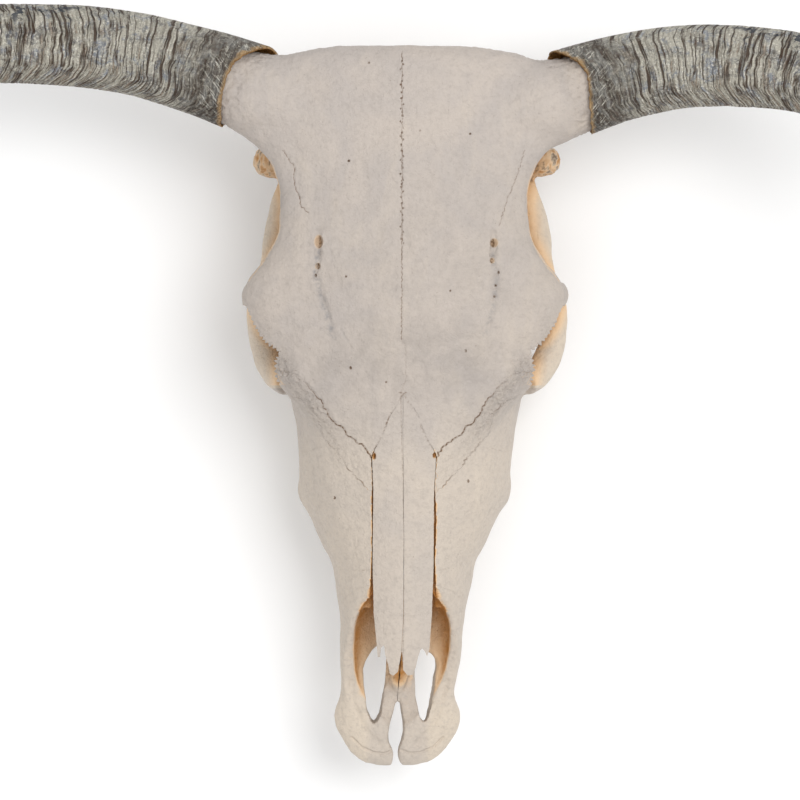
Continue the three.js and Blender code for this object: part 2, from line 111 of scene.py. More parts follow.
def smooth_curve(xs: Sequence[float], ys: Sequence[float]) -> Callable[[np.ndarray], np.ndarray]:
    """A curve through the given values that never overshoots them.

    Args:
        xs: Rising positions.
        ys: The value at each position.

    Returns:
        A function of an array of positions.
    """
    x, y = np.asarray(xs, float), np.asarray(ys, float)
    slopes = np.diff(y) / np.diff(x)
    before, after = np.r_[slopes[0], slopes], np.r_[slopes, slopes[-1]]
    total = np.where(before + after == 0, 1.0, before + after)
    tangents = np.where(before * after <= 0, 0.0, 2 * before * after / total)

    def curve(at: np.ndarray) -> np.ndarray:
        """The curve's value at each position."""
        i = np.clip(np.searchsorted(x, at, side="right") - 1, 0, len(x) - 2)
        span = x[i + 1] - x[i]
        t = np.clip((at - x[i]) / span, 0.0, 1.0)
        r = 1 - t
        return (y[i] * (1 + 2 * t) * r * r + tangents[i] * span * t * r * r
                + y[i + 1] * t * t * (3 - 2 * t) - tangents[i + 1] * span * t * t * r)

    return curve


def polyline(path: Sequence[Place], count: int) -> np.ndarray:
    """Points at even steps of the index along a smooth line through places.

    Args:
        path: The places that the line passes through.
        count: How many points to return.

    Returns:
        An array of count rows.
    """
    points = np.asarray(path, float)
    knots = np.r_[0.0, np.cumsum(np.sqrt(np.linalg.norm(np.diff(points, axis=0), axis=1)))]
    ends = np.vstack([2 * points[0] - points[1], points, 2 * points[-1] - points[-2]])
    steps = np.r_[knots[0] - knots[1], knots, 2 * knots[-1] - knots[-2]]
    at = np.interp(np.linspace(0, len(points) - 1, count), np.arange(len(points)), knots)
    i = np.clip(np.searchsorted(knots, at, side="right") - 1, 0, len(points) - 2)
    p = [ends[i + k] for k in range(4)]
    t = [steps[i + k] for k in range(4)]

    def blend(a: np.ndarray, b: np.ndarray, ta: np.ndarray, tb: np.ndarray) -> np.ndarray:
        """The point between a and b at the time of each sample."""
        share = ((at - ta) / (tb - ta))[:, None]
        return a + (b - a) * share

    a1, a2, a3 = (blend(p[k], p[k + 1], t[k], t[k + 1]) for k in range(3))
    b1, b2 = blend(a1, a2, t[0], t[2]), blend(a2, a3, t[1], t[3])
    return blend(b1, b2, t[1], t[2])


def signed_power(value: np.ndarray, exponent: np.ndarray | float) -> np.ndarray:
    """A power that keeps the sign of the value."""
    return np.sign(value) * np.abs(value) ** exponent


def within(values: np.ndarray, low: np.ndarray | float, high: np.ndarray | float) -> np.ndarray:
    """True where values lie between two limits."""
    return (values > low) & (values < high)


def ragged(outline: Outline, step: float, depth: float, seed: int, closed: bool = True) -> list[tuple[float, float]]:
    """An outline with the fine zigzag of a suture.

    Args:
        outline: Corner points.
        step: Length of a tooth of the zigzag.
        depth: How far the teeth stand out.
        seed: Picks the pattern.
        closed: Whether the last corner is joined to the first.

    Returns:
        The corner points with the points between them.
    """
    pick = np.random.default_rng(seed)
    points: list[tuple[float, float]] = []
    for i, corner in enumerate(outline if closed else outline[:-1]):
        a, b = np.asarray(corner, float), np.asarray(outline[(i + 1) % len(outline)], float)
        count = max(1, int(np.linalg.norm(b - a) / step))
        across = np.array([a[1] - b[1], b[0] - a[0]]) / max(1e-6, float(np.linalg.norm(b - a)))
        for k in range(count):
            offset = 0.0 if k == 0 else depth * pick.uniform(-1, 1)
            spot = a + (b - a) * k / count + across * offset
            points.append((float(spot[0]), float(spot[1])))
    return points if closed else [*points, tuple(outline[-1])]


def widened(outline: Outline, gap: float | Sequence[float]) -> list[tuple[float, float]]:
    """An outline moved outwards by one gap, or by a gap for each corner."""
    points = np.asarray(outline, float)
    following = np.roll(points, -1, axis=0)
    area = float(np.sum(points[:, 0] * following[:, 1] - following[:, 0] * points[:, 1]))
    along = following - points
    along /= np.linalg.norm(along, axis=1)[:, None]
    normal = np.stack([along[:, 1], -along[:, 0]], axis=1) * math.copysign(1.0, area)
    before = np.roll(normal, 1, axis=0)
    corner = (before + normal) / np.maximum(0.35, 1 + np.sum(before * normal, axis=1))[:, None]
    return [tuple(row) for row in points + corner * np.reshape(gap, (-1, 1))]


def distance_to(lines: Sequence[Outline], spots: np.ndarray, reach: float) -> np.ndarray:
    """How far spots in a plane lie from the nearest of some lines, up to a reach.

    Args:
        lines: Lines of corner points.
        spots: An array of two columns.
        reach: The greatest distance of interest.

    Returns:
        One distance for each spot, never more than the reach.
    """
    legs = [leg for line in lines for leg in zip(np.asarray(line, float), np.asarray(line, float)[1:])]
    dense = [a + (b - a) * t for a, b in legs for t in np.arange(0, 1, 0.3 / max(0.3, float(np.linalg.norm(b - a))))]
    tree = KDTree(len(dense))
    for i, spot in enumerate(dense):
        tree.insert((*spot, 0.0), i)
    tree.balance()
    gap = np.full(len(spots), reach)
    low, high = np.min(dense, axis=0) - reach, np.max(dense, axis=0) + reach
    near = np.flatnonzero(np.all((spots > low) & (spots < high), axis=1))
    gap[near] = [min(reach, tree.find((*spot, 0.0))[2]) for spot in spots[near].tolist()]
    return gap


# ------------------------------------------------------------------ work on meshes


class Bench:
    """The common steps of the workshop: selecting, joining, cutting and smoothing meshes."""

    @staticmethod
    def only(piece: Piece) -> None:
        """Selects one object and makes it active, with all else deselected."""
        bpy.ops.object.select_all(action="DESELECT")
        piece.select_set(True)
        bpy.context.view_layer.objects.active = piece

    @classmethod
    @contextmanager
    def editing(cls, piece: Piece, action: str = "SELECT") -> Iterator[None]:
        """Opens a mesh for editing, with all of it selected unless another action is given."""
        cls.only(piece)
        bpy.ops.object.mode_set(mode="EDIT")
        bpy.ops.mesh.select_all(action=action)
        yield
        bpy.ops.object.mode_set(mode="OBJECT")

    @staticmethod
    def points(piece: Piece, what: str = "co") -> np.ndarray:
        """The places of a mesh's vertices, or another of their vectors, one row each."""
        flat = np.empty(len(piece.data.vertices) * 3, np.float32)
        piece.data.vertices.foreach_get(what, flat)
        return flat.reshape(-1, 3).astype(float)

    @classmethod
    def normals(cls, piece: Piece) -> np.ndarray:
        """The directions of a mesh's vertices, one row each."""
        return cls.points(piece, "normal")

    @staticmethod
    def move(piece: Piece, points: np.ndarray) -> None:
        """Puts a mesh's vertices at new places."""
        piece.data.vertices.foreach_set("co", points.astype(np.float32).ravel())
        piece.data.update()

    @classmethod
    def modify(cls, piece: Piece, kind: str, **settings: object) -> None:
        """Adds a modifier with its settings and applies it.

        Args:
            piece: The mesh object.
            kind: The modifier's type, such as "REMESH".
            **settings: Values of the modifier's properties.
        """
        cls.only(piece)
        modifier = piece.modifiers.new(kind.title(), kind)
        for name, value in settings.items():
            setattr(modifier, name, value)
        bpy.ops.object.modifier_apply(modifier=modifier.name)

    @classmethod
    def join(cls, pieces: Sequence[Piece]) -> Piece:
        """Joins objects into the first one."""
        cls.only(pieces[0])
        for piece in pieces:
            piece.select_set(True)
        bpy.ops.object.join()
        return bpy.context.view_layer.objects.active

    @classmethod
    def fuse(cls, piece: Piece, edge: float, smoothing: int) -> None:
        """Melts overlapping shells into one even skin, and softens it.

        Args:
            piece: The mesh object.
            edge: Edge length of the new skin in millimetres.
            smoothing: How many times the skin is smoothed.
        """
        cls.modify(piece, "REMESH", mode="VOXEL", voxel_size=edge * MM)
        if smoothing:
            cls.modify(piece, "SMOOTH", factor=0.5, iterations=smoothing)

    @classmethod
    def cut(cls, piece: Piece, other: Piece, shared: bool = False) -> None:
        """Cuts another shape out of a mesh, or keeps only what they share, and removes that shape."""
        operation = "INTERSECT" if shared else "DIFFERENCE"
        cls.modify(piece, "BOOLEAN", operation=operation, object=other, solver="MANIFOLD")
        bpy.data.objects.remove(other)

    @classmethod
    def carve(cls, piece: Piece, cutters: Sequence[Piece]) -> None:
        """Cuts each of the cutters out of a mesh and removes the cutters."""
        for cutter in cutters:
            cls.cut(piece, cutter)

    @classmethod
    def part(cls, piece: Piece, name: str, region: Piece,
             wider: Piece) -> Piece:
        """Parts a region of a mesh off as a mesh of its own.

        Args:
            piece: The mesh that the region is taken from.
            name: The new piece's name.
            region: A closed shape around what is parted off.
            wider: The same shape, wider by the suture's gap.

        Returns:
            The new piece.
        """
        bone = piece.copy()
        bone.data = piece.data.copy()
        bpy.context.collection.objects.link(bone)
        bone.name = bone.data.name = name
        cls.cut(bone, region, shared=True)
        cls.carve(piece, [wider])
        cls.keep_largest(bone)
        return bone

    @classmethod
    def keep_largest(cls, piece: Piece) -> None:
        """Removes all loose parts of a mesh but the largest one."""
        name = piece.name
        with cls.editing(piece):
            bpy.ops.mesh.separate(type="LOOSE")
        parts = sorted(bpy.context.selected_objects, key=lambda part: len(part.data.vertices))
        largest = parts[-1]
        for crumb in parts[:-1]:
            if crumb is not piece:
                bpy.data.objects.remove(crumb)
        if largest is not piece:
            piece.data = largest.data
            bpy.data.objects.remove(largest)
        piece.name = piece.data.name = name

    @classmethod
    def refine(cls, piece: Piece, wanted: np.ndarray, cuts: int) -> None:
        """Divides the faces around the wanted vertices.

        Args:
            piece: The mesh object.
            wanted: True for each vertex where finer forms follow.
            cuts: Number of cuts across each face.
        """
        cls.only(piece)
        mesh = piece.data
        corners = np.empty(len(mesh.loops), np.int32)
        mesh.loops.foreach_get("vertex_index", corners)
        starts = np.empty(len(mesh.polygons), np.int32)
        mesh.polygons.foreach_get("loop_start", starts)
        chosen = np.logical_or.reduceat(wanted[corners], starts)
        for kind in ("vertices", "edges"):
            parts = getattr(mesh, kind)
            parts.foreach_set("select", np.zeros(len(parts), bool))
        mesh.polygons.foreach_set("select", chosen)
        bpy.ops.object.mode_set(mode="EDIT")
        bpy.ops.mesh.select_mode(type="FACE")
        bpy.ops.mesh.subdivide(number_cuts=cuts, smoothness=0)
        bpy.ops.object.mode_set(mode="OBJECT")


def grain(points: np.ndarray, size: float, seed: int) -> np.ndarray:
    """Smooth noise from -1 to 1 at each point.

    Args:
        points: An array of places in any unit.
        size: Length over which the noise changes, in the same unit.
        seed: Picks the pattern.

    Returns:
        One value for each point.
    """
    shift = Vector((seed * 13.7, seed * 7.3, seed * 3.1))
    scaled = (points / size).tolist()
    return np.array([noise.noise(Vector(row) + shift) for row in scaled])


# ------------------------------------------------------------------ shapes of the block-out


@dataclass
class Loft:
    """A body over cross-sections (u, half width, top, bottom, height of the widest level)."""

    sections: Sequence[tuple[float, float, float, float, float]]
    top: float = 2.4
    low: float = 2.4
    rings: int = 96
    sides: int = 96

    def build(self) -> Piece:
        """Fits a ball's rings to the sections."""
        bpy.ops.mesh.primitive_uv_sphere_add(segments=self.sides, ring_count=self.rings)
        piece = bpy.context.active_object
        ball = Bench.points(piece)
        us, *columns = np.asarray(self.sections, float).T
        half, crown, base, wide = (smooth_curve(us, column) for column in columns)
        polar = np.arccos(np.clip(ball[:, 2], -1, 1)) / math.pi
        step = 1 / self.rings
        t = np.clip((polar - step) / (1 - 2 * step), 0, 1)
        u = us[0] + (us[-1] - us[0]) * t
        angle = np.arctan2(ball[:, 1], ball[:, 0])
        pole = (polar < step / 2) | (polar > 1 - step / 2)
        c, s = np.where(pole, 0, np.cos(angle)), np.where(pole, 0, np.sin(angle))
        exponent = 2 / np.where(s > 0, self.top, self.low)
        height = np.where(s > 0, crown(u) - wide(u), wide(u) - base(u))
        x = half(u) * signed_power(c, exponent)
        z = wide(u) + height * signed_power(s, exponent)
        Bench.move(piece, settle(np.stack([x, u, z], axis=1)))
        Shape.face_outwards(piece)
        return piece


@dataclass
class Limb:
    """A bar, process or horn along a path, with [across, upright] half sizes at even steps."""

    path: Sequence[Place]
    girth: Sequence[tuple[float, float]]
    upright: Place = (0.0, 0.0, 1.0)
    rings: int = 64
    sides: int = 40

    def build(self, side: Side = Side.LEFT) -> Piece:
        """Fits a ball's rings to the path on one side of the skull."""
        bpy.ops.mesh.primitive_uv_sphere_add(segments=self.sides, ring_count=self.rings)
        piece = bpy.context.active_object
        ball = Bench.points(piece)
        polar = np.arccos(np.clip(ball[:, 2], -1, 1)) / math.pi
        step = 1 / self.rings
        t = np.clip((polar - step) / (1 - 2 * step), 0, 1)
        centre, across, rise = self.frames(side)
        index = t * (len(centre) - 1)
        at = lambda rows: np.stack([np.interp(index, np.arange(len(rows)), rows[:, k]) for k in range(3)], 1)
        steps = np.linspace(0, 1, len(self.girth))
        wide = smooth_curve(steps, [g[0] for g in self.girth])(t)
        high = smooth_curve(steps, [g[1] for g in self.girth])(t)
        angle = np.arctan2(ball[:, 1], ball[:, 0])
        inside = (polar > step / 2) & (polar < 1 - step / 2)
        c, s = np.cos(angle) * inside * wide, np.sin(angle) * inside * high
        Bench.move(piece, settle(at(centre) + at(across) * c[:, None] + at(rise) * s[:, None]))
        Shape.face_outwards(piece)
        return piece

    def frames(self, side: Side, count: int = 241) -> tuple[np.ndarray, np.ndarray, np.ndarray]:
        """The path's points, with the directions across and upright at each of them."""
        path = [(x * side.value, u, z) for x, u, z in self.path]
        centre = polyline(path, count)
        along = np.gradient(centre, axis=0)
        along /= np.linalg.norm(along, axis=1)[:, None]
        across = np.cross(along, np.asarray(self.upright, float))
        across /= np.linalg.norm(across, axis=1)[:, None]
        return centre, across, np.cross(across, along)


@dataclass
class Boulder:
    """An egg, or with an exponent over 2 a rounded block, turned about its own axes."""

    centre: Place
    radii: Place
    exponent: float = 2.0
    turn: Place = (0.0, 0.0, 0.0)
    segments: int = 48

    def build(self, side: Side = Side.LEFT) -> Piece:
        """Shapes a ball and puts it on one side of the skull."""
        bpy.ops.mesh.primitive_uv_sphere_add(segments=self.segments, ring_count=self.segments * 2 // 3)
        piece = bpy.context.active_object
        ball = Bench.points(piece)
        ball /= (np.sum(np.abs(ball) ** self.exponent, axis=1) ** (1 / self.exponent))[:, None]
        ball *= np.asarray(self.radii)
        for axis, degrees in enumerate(self.turn):
            angle = math.radians(degrees if axis == 0 else degrees * side.value)
            a, b = [(1, 2), (2, 0), (0, 1)][axis]
            first, second = ball[:, a].copy(), ball[:, b].copy()
            ball[:, a] = first * math.cos(angle) - second * math.sin(angle)
            ball[:, b] = first * math.sin(angle) + second * math.cos(angle)
        x, u, z = self.centre
        place = np.stack([ball[:, 0] + x * side.value, u - ball[:, 1], ball[:, 2] + z], axis=1)
        Bench.move(piece, settle(place))
        Shape.face_outwards(piece)
        return piece


class Shape:
    """Closed blocks over outlines, for cutting and parting."""

    @staticmethod
    def face_outwards(piece: Piece) -> None:
        """Recalculates a closed mesh's faces to point outwards."""
        with Bench.editing(piece):
            bpy.ops.mesh.normals_make_consistent(inside=False)

    @classmethod
    def block(cls, outline: Outline, place: Callable[[np.ndarray, float], np.ndarray],
              near: float, far: float) -> Piece:
        """Extrudes an outline between two distances.

        Args:
            outline: Corner points.
            place: Gives skull places from corner points and a distance.
            near: Distance of the first face.
            far: Distance of the second face.

        Returns:
            The closed block.
        """
        bpy.ops.mesh.primitive_circle_add(vertices=len(outline), fill_type="NGON")
        piece = bpy.context.active_object
        corners = np.asarray(outline, float)
        with Bench.editing(piece):
            bpy.ops.mesh.extrude_region_move(TRANSFORM_OT_translate={"value": (0, 0, 1)})
        rough = Bench.points(piece)
        upper = rough[:, 2] > 0.5
        angle = np.arctan2(rough[:, 0], rough[:, 1]) % (2 * math.pi)
        order = np.rint(angle / (2 * math.pi) * len(corners)).astype(int) % len(corners)
        lower_places, upper_places = place(corners, near), place(corners, far)
        skull = np.where(upper[:, None], upper_places[order], lower_places[order])
        Bench.move(piece, settle(skull))
        cls.face_outwards(piece)
        return piece

    @classmethod
    def plan(cls, outline: Outline, low: float, high: float, side: Side = Side.LEFT) -> Piece:
        """A block over an outline of (x, u) points, between two heights."""

        def place(corners: np.ndarray, z: float) -> np.ndarray:
            """Skull places of the corners at a height."""
            return np.stack([corners[:, 0] * side.value, corners[:, 1], np.full(len(corners), z)], 1)

        return cls.block(outline, place, low, high)

    @classmethod
    def flank(cls, outline: Outline, near: float, far: float, side: Side = Side.LEFT) -> Piece:
        """A block over an outline of (u, z) points, between two distances from the midline."""

        def place(corners: np.ndarray, x: float) -> np.ndarray:
            """Skull places of the corners at a distance from the midline."""
            return np.stack([np.full(len(corners), x * side.value), corners[:, 0], corners[:, 1]], 1)

        return cls.block(outline, place, near, far)


def both(make: Callable[[Side], Piece]) -> list[Piece]:
    """Makes a piece on both sides."""
    return [make(side) for side in Side]


# ------------------------------------------------------------------ the skull's parts


@dataclass
class Forehead:
    """The frontal shield with the roots of the horn cores."""

    sections: Sequence[tuple[float, float, float, float, float]] = (
        (-1.8, 48, 156, 130, 144), (2.4, 74, 161, 122, 142), (9.2, 96, 165, 114, 141),
        (26, 112, 167, 110, 139), (44, 117, 168, 110, 139), (58, 116, 168, 112, 141),
        (70, 104, 168, 116, 144), (84, 93.5, 168.5, 119, 147), (106, 87.5, 168.5, 121, 148),
        (128, 89, 168, 120, 147), (148, 98.5, 168, 119, 144), (164, 111, 167.5, 120, 142),
        (177, 115.5, 167, 120, 140), (184, 114.5, 166.7, 121, 139), (195.5, 110, 166.4, 121, 138),
        (204, 105, 166, 120, 137), (211, 98, 165.7, 119, 136), (222, 94, 165, 118, 133.5),
        (231, 93.5, 164.5, 117, 131), (239, 89, 164, 116, 128), (256, 74, 160.5, 116, 124),
        (268, 65, 157, 114, 119), (280, 54, 151, 110, 113), (289, 38, 143, 106, 108))
    left_core: Sequence[Place] = ((70, 42, 134), (96, 39, 138), (116, 33.3, 138), (134, 27, 138), (147, 23, 138))
    right_core: Sequence[Place] = ((70, 41, 134), (96, 35, 138), (116, 27.3, 138), (134, 20.5, 138), (147, 16, 138))
    core_girth: Sequence[float] = (33, 32, 28.6, 26.5, 24)
    squeeze: float = 0.93

    def build(self) -> list[Piece]:
        """The shield and the two cores."""
        girth = [(r, r * self.squeeze) for r in self.core_girth]
        return [Loft(self.sections, top=2.5, low=2.2, rings=128).build(),
                Limb(self.left_core, girth).build(Side.LEFT), Limb(self.right_core, girth).build(Side.RIGHT)]


@dataclass
class BrainCase:
    """The braincase with the nape's wall, the ears, the neck joint and the jugular processes."""

    floor: Sequence[tuple[float, float, float, float, float]] = (
        (38, 20, 44, 22, 32), (60, 22, 50, 23, 38), (85, 19, 62, 34, 48), (120, 16, 78, 46, 62),
        (160, 17, 92, 56, 76), (200, 24, 104, 66, 88), (232, 26, 110, 60, 90))
    jugular: Sequence[Place] = ((74, 58, 66), (72, 60, 44), (67, 61, 22), (60, 59, 6), (56, 57, -2))
    jugular_girth: Sequence[tuple[float, float]] = ((15, 9), (12, 8), (9, 6.5), (7.5, 5.5), (6, 4.5))
    pterygoid: Outline = ((232, 30), (218, 21), (198, 19), (182, 22), (176, 13), (171, 13), (168, 26),
                          (160, 42), (142, 58), (136, 84), (232, 84))

    def masses(self) -> list[Piece]:
        """The massive shapes that blend into each other."""
        return [
            Boulder((0, 49, 96), (97, 27, 64), 2.8, (13, 0, 0), 64).build(),
            Boulder((0, 98, 98), (62, 86, 56)).build(),
            Boulder((0, 182, 106), (40, 52, 38)).build(),
            Loft(self.floor).build(),
            *both(Boulder((96, 74, 73), (16.5, 12, 15), 2.3).build),
            *both(Boulder((46, 80, 34), (10, 15, 20), turn=(-12, 0, 0)).build),
            *both(Limb(((50, 74, 62), (84, 75, 68), (106, 76, 75)), ((12, 13), (10, 11), (6, 7))).build),
            *both(Boulder((31, 32, 40), (19, 21, 27), turn=(10, 16, 24)).build),
            *both(Boulder((76, 30, 108), (26, 15, 26), turn=(10, 0, -8)).build),
        ]

    def processes(self) -> list[Piece]:
        """The thin shapes: jugular processes, hamuli and the plates beside the inner nostrils."""
        jugular = Limb(self.jugular, self.jugular_girth, upright=(0, 1, 0))
        style = Limb(((47, 82, 32), (47, 90, 25), (46, 97, 17)), ((5, 5), (3.5, 3.5), (1.5, 1.5)), (1, 0, 0))
        plates = [Shape.flank(self.pterygoid, 20.5, 25.5, side) for side in Side]
        return [*both(jugular.build), *both(style.build), *plates]

    def magnum(self) -> Piece:
        """The cutter for the great opening of the braincase."""
        return Boulder((0, 34, 49), (19, 34, 18), 2.2, (12, 0, 0)).build()


@dataclass
class OrbitRegion:
    """The eye sockets, the chewing muscle's hollows, the cheek arches and the spiny upper rims."""

    socket: Boulder = field(default_factory=lambda: Boulder((90, 210, 106), (48, 33, 30), 2.2, (0, 8, -6), 64))
    temple: Boulder = field(default_factory=lambda: Boulder((101, 128, 105), (42, 47, 31), 2.3, (0, 6, 8), 64))
    arch: Sequence[Place] = (
        (86, 236.5, 96), (94.5, 230, 83), (100.5, 221.5, 76), (104.8, 210, 71.5), (108, 196, 70), (109, 182, 72),
        (104, 166, 75), (97, 148, 75), (95.5, 132, 74), (91.5, 114, 74), (86, 98, 74), (80, 84, 73))
    arch_girth: Sequence[tuple[float, float]] = (
        (9.5, 10), (10, 10), (10, 10.5), (9.5, 11), (8.4, 11), (7.7, 11), (7.5, 9.5), (9.5, 8.5), (10, 8),
        (10, 8), (10, 9), (10, 11))
    bar: Sequence[Place] = ((106, 175, 144), (110.5, 174, 126), (111, 173, 108), (109.5, 173, 90), (106.5, 175, 76))
    bar_girth: Sequence[tuple[float, float]] = ((8, 12), (6, 9.5), (5.5, 8.5), (6, 9.5), (7, 12))
    rim: Outline = ((113, 180.5), (110.4, 184.5), (106.6, 194), (101.8, 202), (96.4, 208.5), (90.3, 212.8),
                    (87.8, 215), (90.2, 217.8), (91.4, 223), (91.2, 229), (90.4, 234), (88.4, 240))

    def hollows(self) -> list[Piece]:
        """The cutters for the sockets and the temples."""
        return [*both(self.socket.build), *both(self.temple.build)]

    def bars(self) -> list[Piece]:
        """The cheek arches and the bars behind the sockets."""
        return [*both(Limb(self.arch, self.arch_girth, rings=120).build),
                *both(Limb(self.bar, self.bar_girth, (0, 1, 0)).build)]

    def comb(self, side: Side) -> Piece:
        """The cutter that leaves the upper rim of one socket with its small bony spines."""
        pick = np.random.default_rng(21 + side.value)
        rim = np.asarray(self.rim, float)
        length = np.r_[0.0, np.cumsum(np.linalg.norm(np.diff(rim, axis=0), axis=1))]
        stops = np.cumsum(pick.uniform(1.1, 2.3, 80))
        line = []
        for k, stop in enumerate(stops[stops < length[-1] - 1]):
            spot = np.array([np.interp(stop, length, rim[:, 0]), np.interp(stop, length, rim[:, 1])])
            ahead = np.array([np.interp(stop + 1, length, rim[:, 0]), np.interp(stop + 1, length, rim[:, 1])])
            out = np.array([ahead[1] - spot[1], spot[0] - ahead[0]])
            out /= max(1e-6, float(np.linalg.norm(out)))
            rough = min(1.0, 0.25 + stop / length[-1] * 1.4)
            reach = pick.uniform(0.5, 2.0) if k % 2 else pick.uniform(-1.6, -0.2)
            line.append(tuple(spot + out * reach * rough))
        return Shape.plan((*line, (125, 246), (135, 180)), 113, 190, side)


@dataclass
class Face:
    """The upper jaw, the nose with its air space, the palate and the muzzle."""

    sections: Sequence[tuple[float, float, float, float, float]] = (
        (190, 36, 160, 92, 126), (206, 52, 163, 66, 112), (222, 74, 164, 30, 98), (236, 85, 164, 21, 92),
        (250, 83.5, 163, 20, 89), (268, 79.5, 160.5, 23, 84), (290, 77, 157.5, 29, 79),
        (300, 76.5, 156, 31.5, 77), (316, 75.3, 154, 35.5, 74.5), (328, 70.5, 152.5, 40, 73),
        (340, 65, 151.7, 43.5, 73), (351, 60.5, 150.8, 47.8, 74.8), (358, 57.3, 150, 50, 76),
        (364, 53, 149.5, 52.5, 77.5), (386, 48.5, 147.5, 61, 83), (410, 45, 145.3, 66.5, 87),
        (437, 43.4, 142.4, 70.7, 88), (450, 41.8, 136, 73, 87.3), (460, 41.2, 116, 74.3, 87),
        (468, 43.4, 103, 75.2, 87), (477, 46.2, 99.4, 75.6, 86), (487, 44.6, 97.3, 76, 85),
        (495, 40.5, 94.8, 77, 84.5), (503, 35.5, 92.3, 78, 84), (509, 29, 89.8, 79.5, 84),
        (513, 22.5, 88.3, 80.5, 84), (MUZZLE_END, 12, 86.5, 82, 84))
    cavity: Sequence[tuple[float, float, float, float, float]] = (
        (288, 8, 138, 84, 108), (300, 14, 145, 72, 108), (330, 16.5, 143.5, 70, 112), (360, 17.5, 141, 73, 120),
        (374, 18.5, 139.5, 76, 130), (383, 20.8, 138.8, 77, 134.5), (388, 23.4, 138.4, 77.5, 133.6),
        (392, 26, 137.8, 78, 130.6), (398, 29.6, 137, 79, 126.5), (405, 32.7, 136.5, 81, 122.8),
        (412, 34, 136, 82, 119.5), (428, 34.4, 133, 85, 110), (443, 32.6, 129, 87.3, 103), (452, 30, 126, 88.5, 100),
        (460, 26.5, 124, 89.5, 99.5), (470, 21, 122, 91.5, 101), (480, 14, 120, 94, 102), (490, 8, 118, 97, 104))
    palate: Sequence[tuple[float, float, float, float, float]] = (
        (214, 20, 44, -60, 20), (232, 38, 40, -60, 16), (300, 38, 54, -60, 30), (360, 33, 68, -60, 46),
        (410, 25, 75, -60, 58), (440, 10, 76, -60, 70))
    aperture: Outline = ((372, 160), (377, 147), (383, 139), (388, 135), (392, 132), (398, 127.5), (410, 121),
                         (418, 116), (434, 107), (452, 100), (466, 98.5), (476, 101.5), (484, 112), (486, 160))
    spared: Outline = ((-24.5, 340), (24.5, 340), (24, 448), (-24, 448))
    left_fissure: Outline = ((13, 427), (16.7, 428.6), (19.5, 430.8), (22, 431.6), (25.4, 435.5), (26.8, 442),
                             (25.2, 457), (23.2, 471), (20, 484), (16, 478), (13.5, 463), (11.6, 445))
    right_fissure: Outline = ((11, 427), (15, 426), (18.2, 427), (22.4, 431.6), (25.4, 437), (26.4, 443), (24.6, 457),
                              (22.2, 473), (17.2, 484.5), (12.5, 476), (10.2, 461), (9.8, 442))
    cleft: Outline = ((0.3, 459.5), (1.6, 464), (2.3, 469), (3.2, 474.5), (4.6, 482), (5, 489.5), (3.6, 495),
                      (1.5, 501), (0.8, 505), (1.6, 510), (3.8, 514), (3.8, 530), (-3.8, 530), (-4.2, 514),
                      (-3.6, 510), (-3.4, 505), (-4.6, 501), (-6.9, 496.5), (-7.1, 489.5), (-5.3, 482),
                      (-3.1, 474.5), (-1.4, 467.5), (-0.6, 462))

    def masses(self) -> list[Piece]:
        """The snout and the bumps on its cheeks."""
        return [Loft(self.sections, top=2.1, low=3.2, rings=200, sides=128).build(),
                *both(Boulder((66, 312, 73), (12, 19, 12)).build)]

    def hollows(self) -> list[Piece]:
        """The cutters for the palate and its openings."""
        return [Loft(self.palate, top=3.0).build(),
                Shape.plan(self.left_fissure, 40, 130, Side.LEFT),
                Shape.plan(self.right_fissure, 40, 130, Side.RIGHT),
                Shape.plan(self.cleft, 40, 130)]

    def air_space(self) -> Piece:
        """The cutter for the hollow of the nose."""
        return Loft(self.cavity, low=1.6).build()

    def opening(self, whole: bool = True) -> Piece:
        """The cutter for the nose's opening in front, whole or with the nasal bones' place spared."""
        cutter = Shape.flank(self.aperture, -80, 80)
        if not whole:
            Bench.carve(cutter, [Shape.plan(self.spared, 90, 220)])
        return cutter

    def scrolls(self) -> list[Piece]:
        """What is left of the scroll bones in the nose, and the ploughshare bone on its floor."""
        scroll = Limb(((20, 298, 132), (23, 330, 131), (24.5, 360, 128), (25, 382, 124), (24.5, 397, 120)),
                      ((5, 5), (6, 7), (6, 7), (4.5, 5), (2.5, 3)))
        share = Limb(((0, 350, 92), (0, 400, 93), (0.2, 438, 94), (0.3, 450, 92), (0.4, 460, 89)),
                     ((3.2, 14), (5, 12), (7, 9), (6.5, 6.5), (4, 4)))
        return [*both(scroll.build), share.build()]


NASAL_SEAM: Outline = ((-1.4, 150), (-1.7, 243), (-1.6, 256), (-0.4, 300), (0.4, 345), (0.6, 400), (0.2, 560))


@dataclass(frozen=True)
class BoneCut:
    """How one bone is parted from the rest: its outline from above and from the side."""

    node: str
    slot: str
    above: Outline | None = None
    beside: Outline | None = None
    nearest: float = -BESIDE
    paired: bool = True
    teeth: float = 0.8

    def lines(self, side: Side) -> tuple[list[tuple[float, float]], list[tuple[float, float]]]:
        """The zigzag outlines on one side, from above and from the side, empty where there is none."""
        seed = sum(map(ord, self.node)) + side.value
        above = ragged(self.above, 1.7, self.teeth, seed) if self.above else []
        beside = ragged(self.beside, 2.0, self.teeth, seed + 50) if self.beside else []
        return above, beside


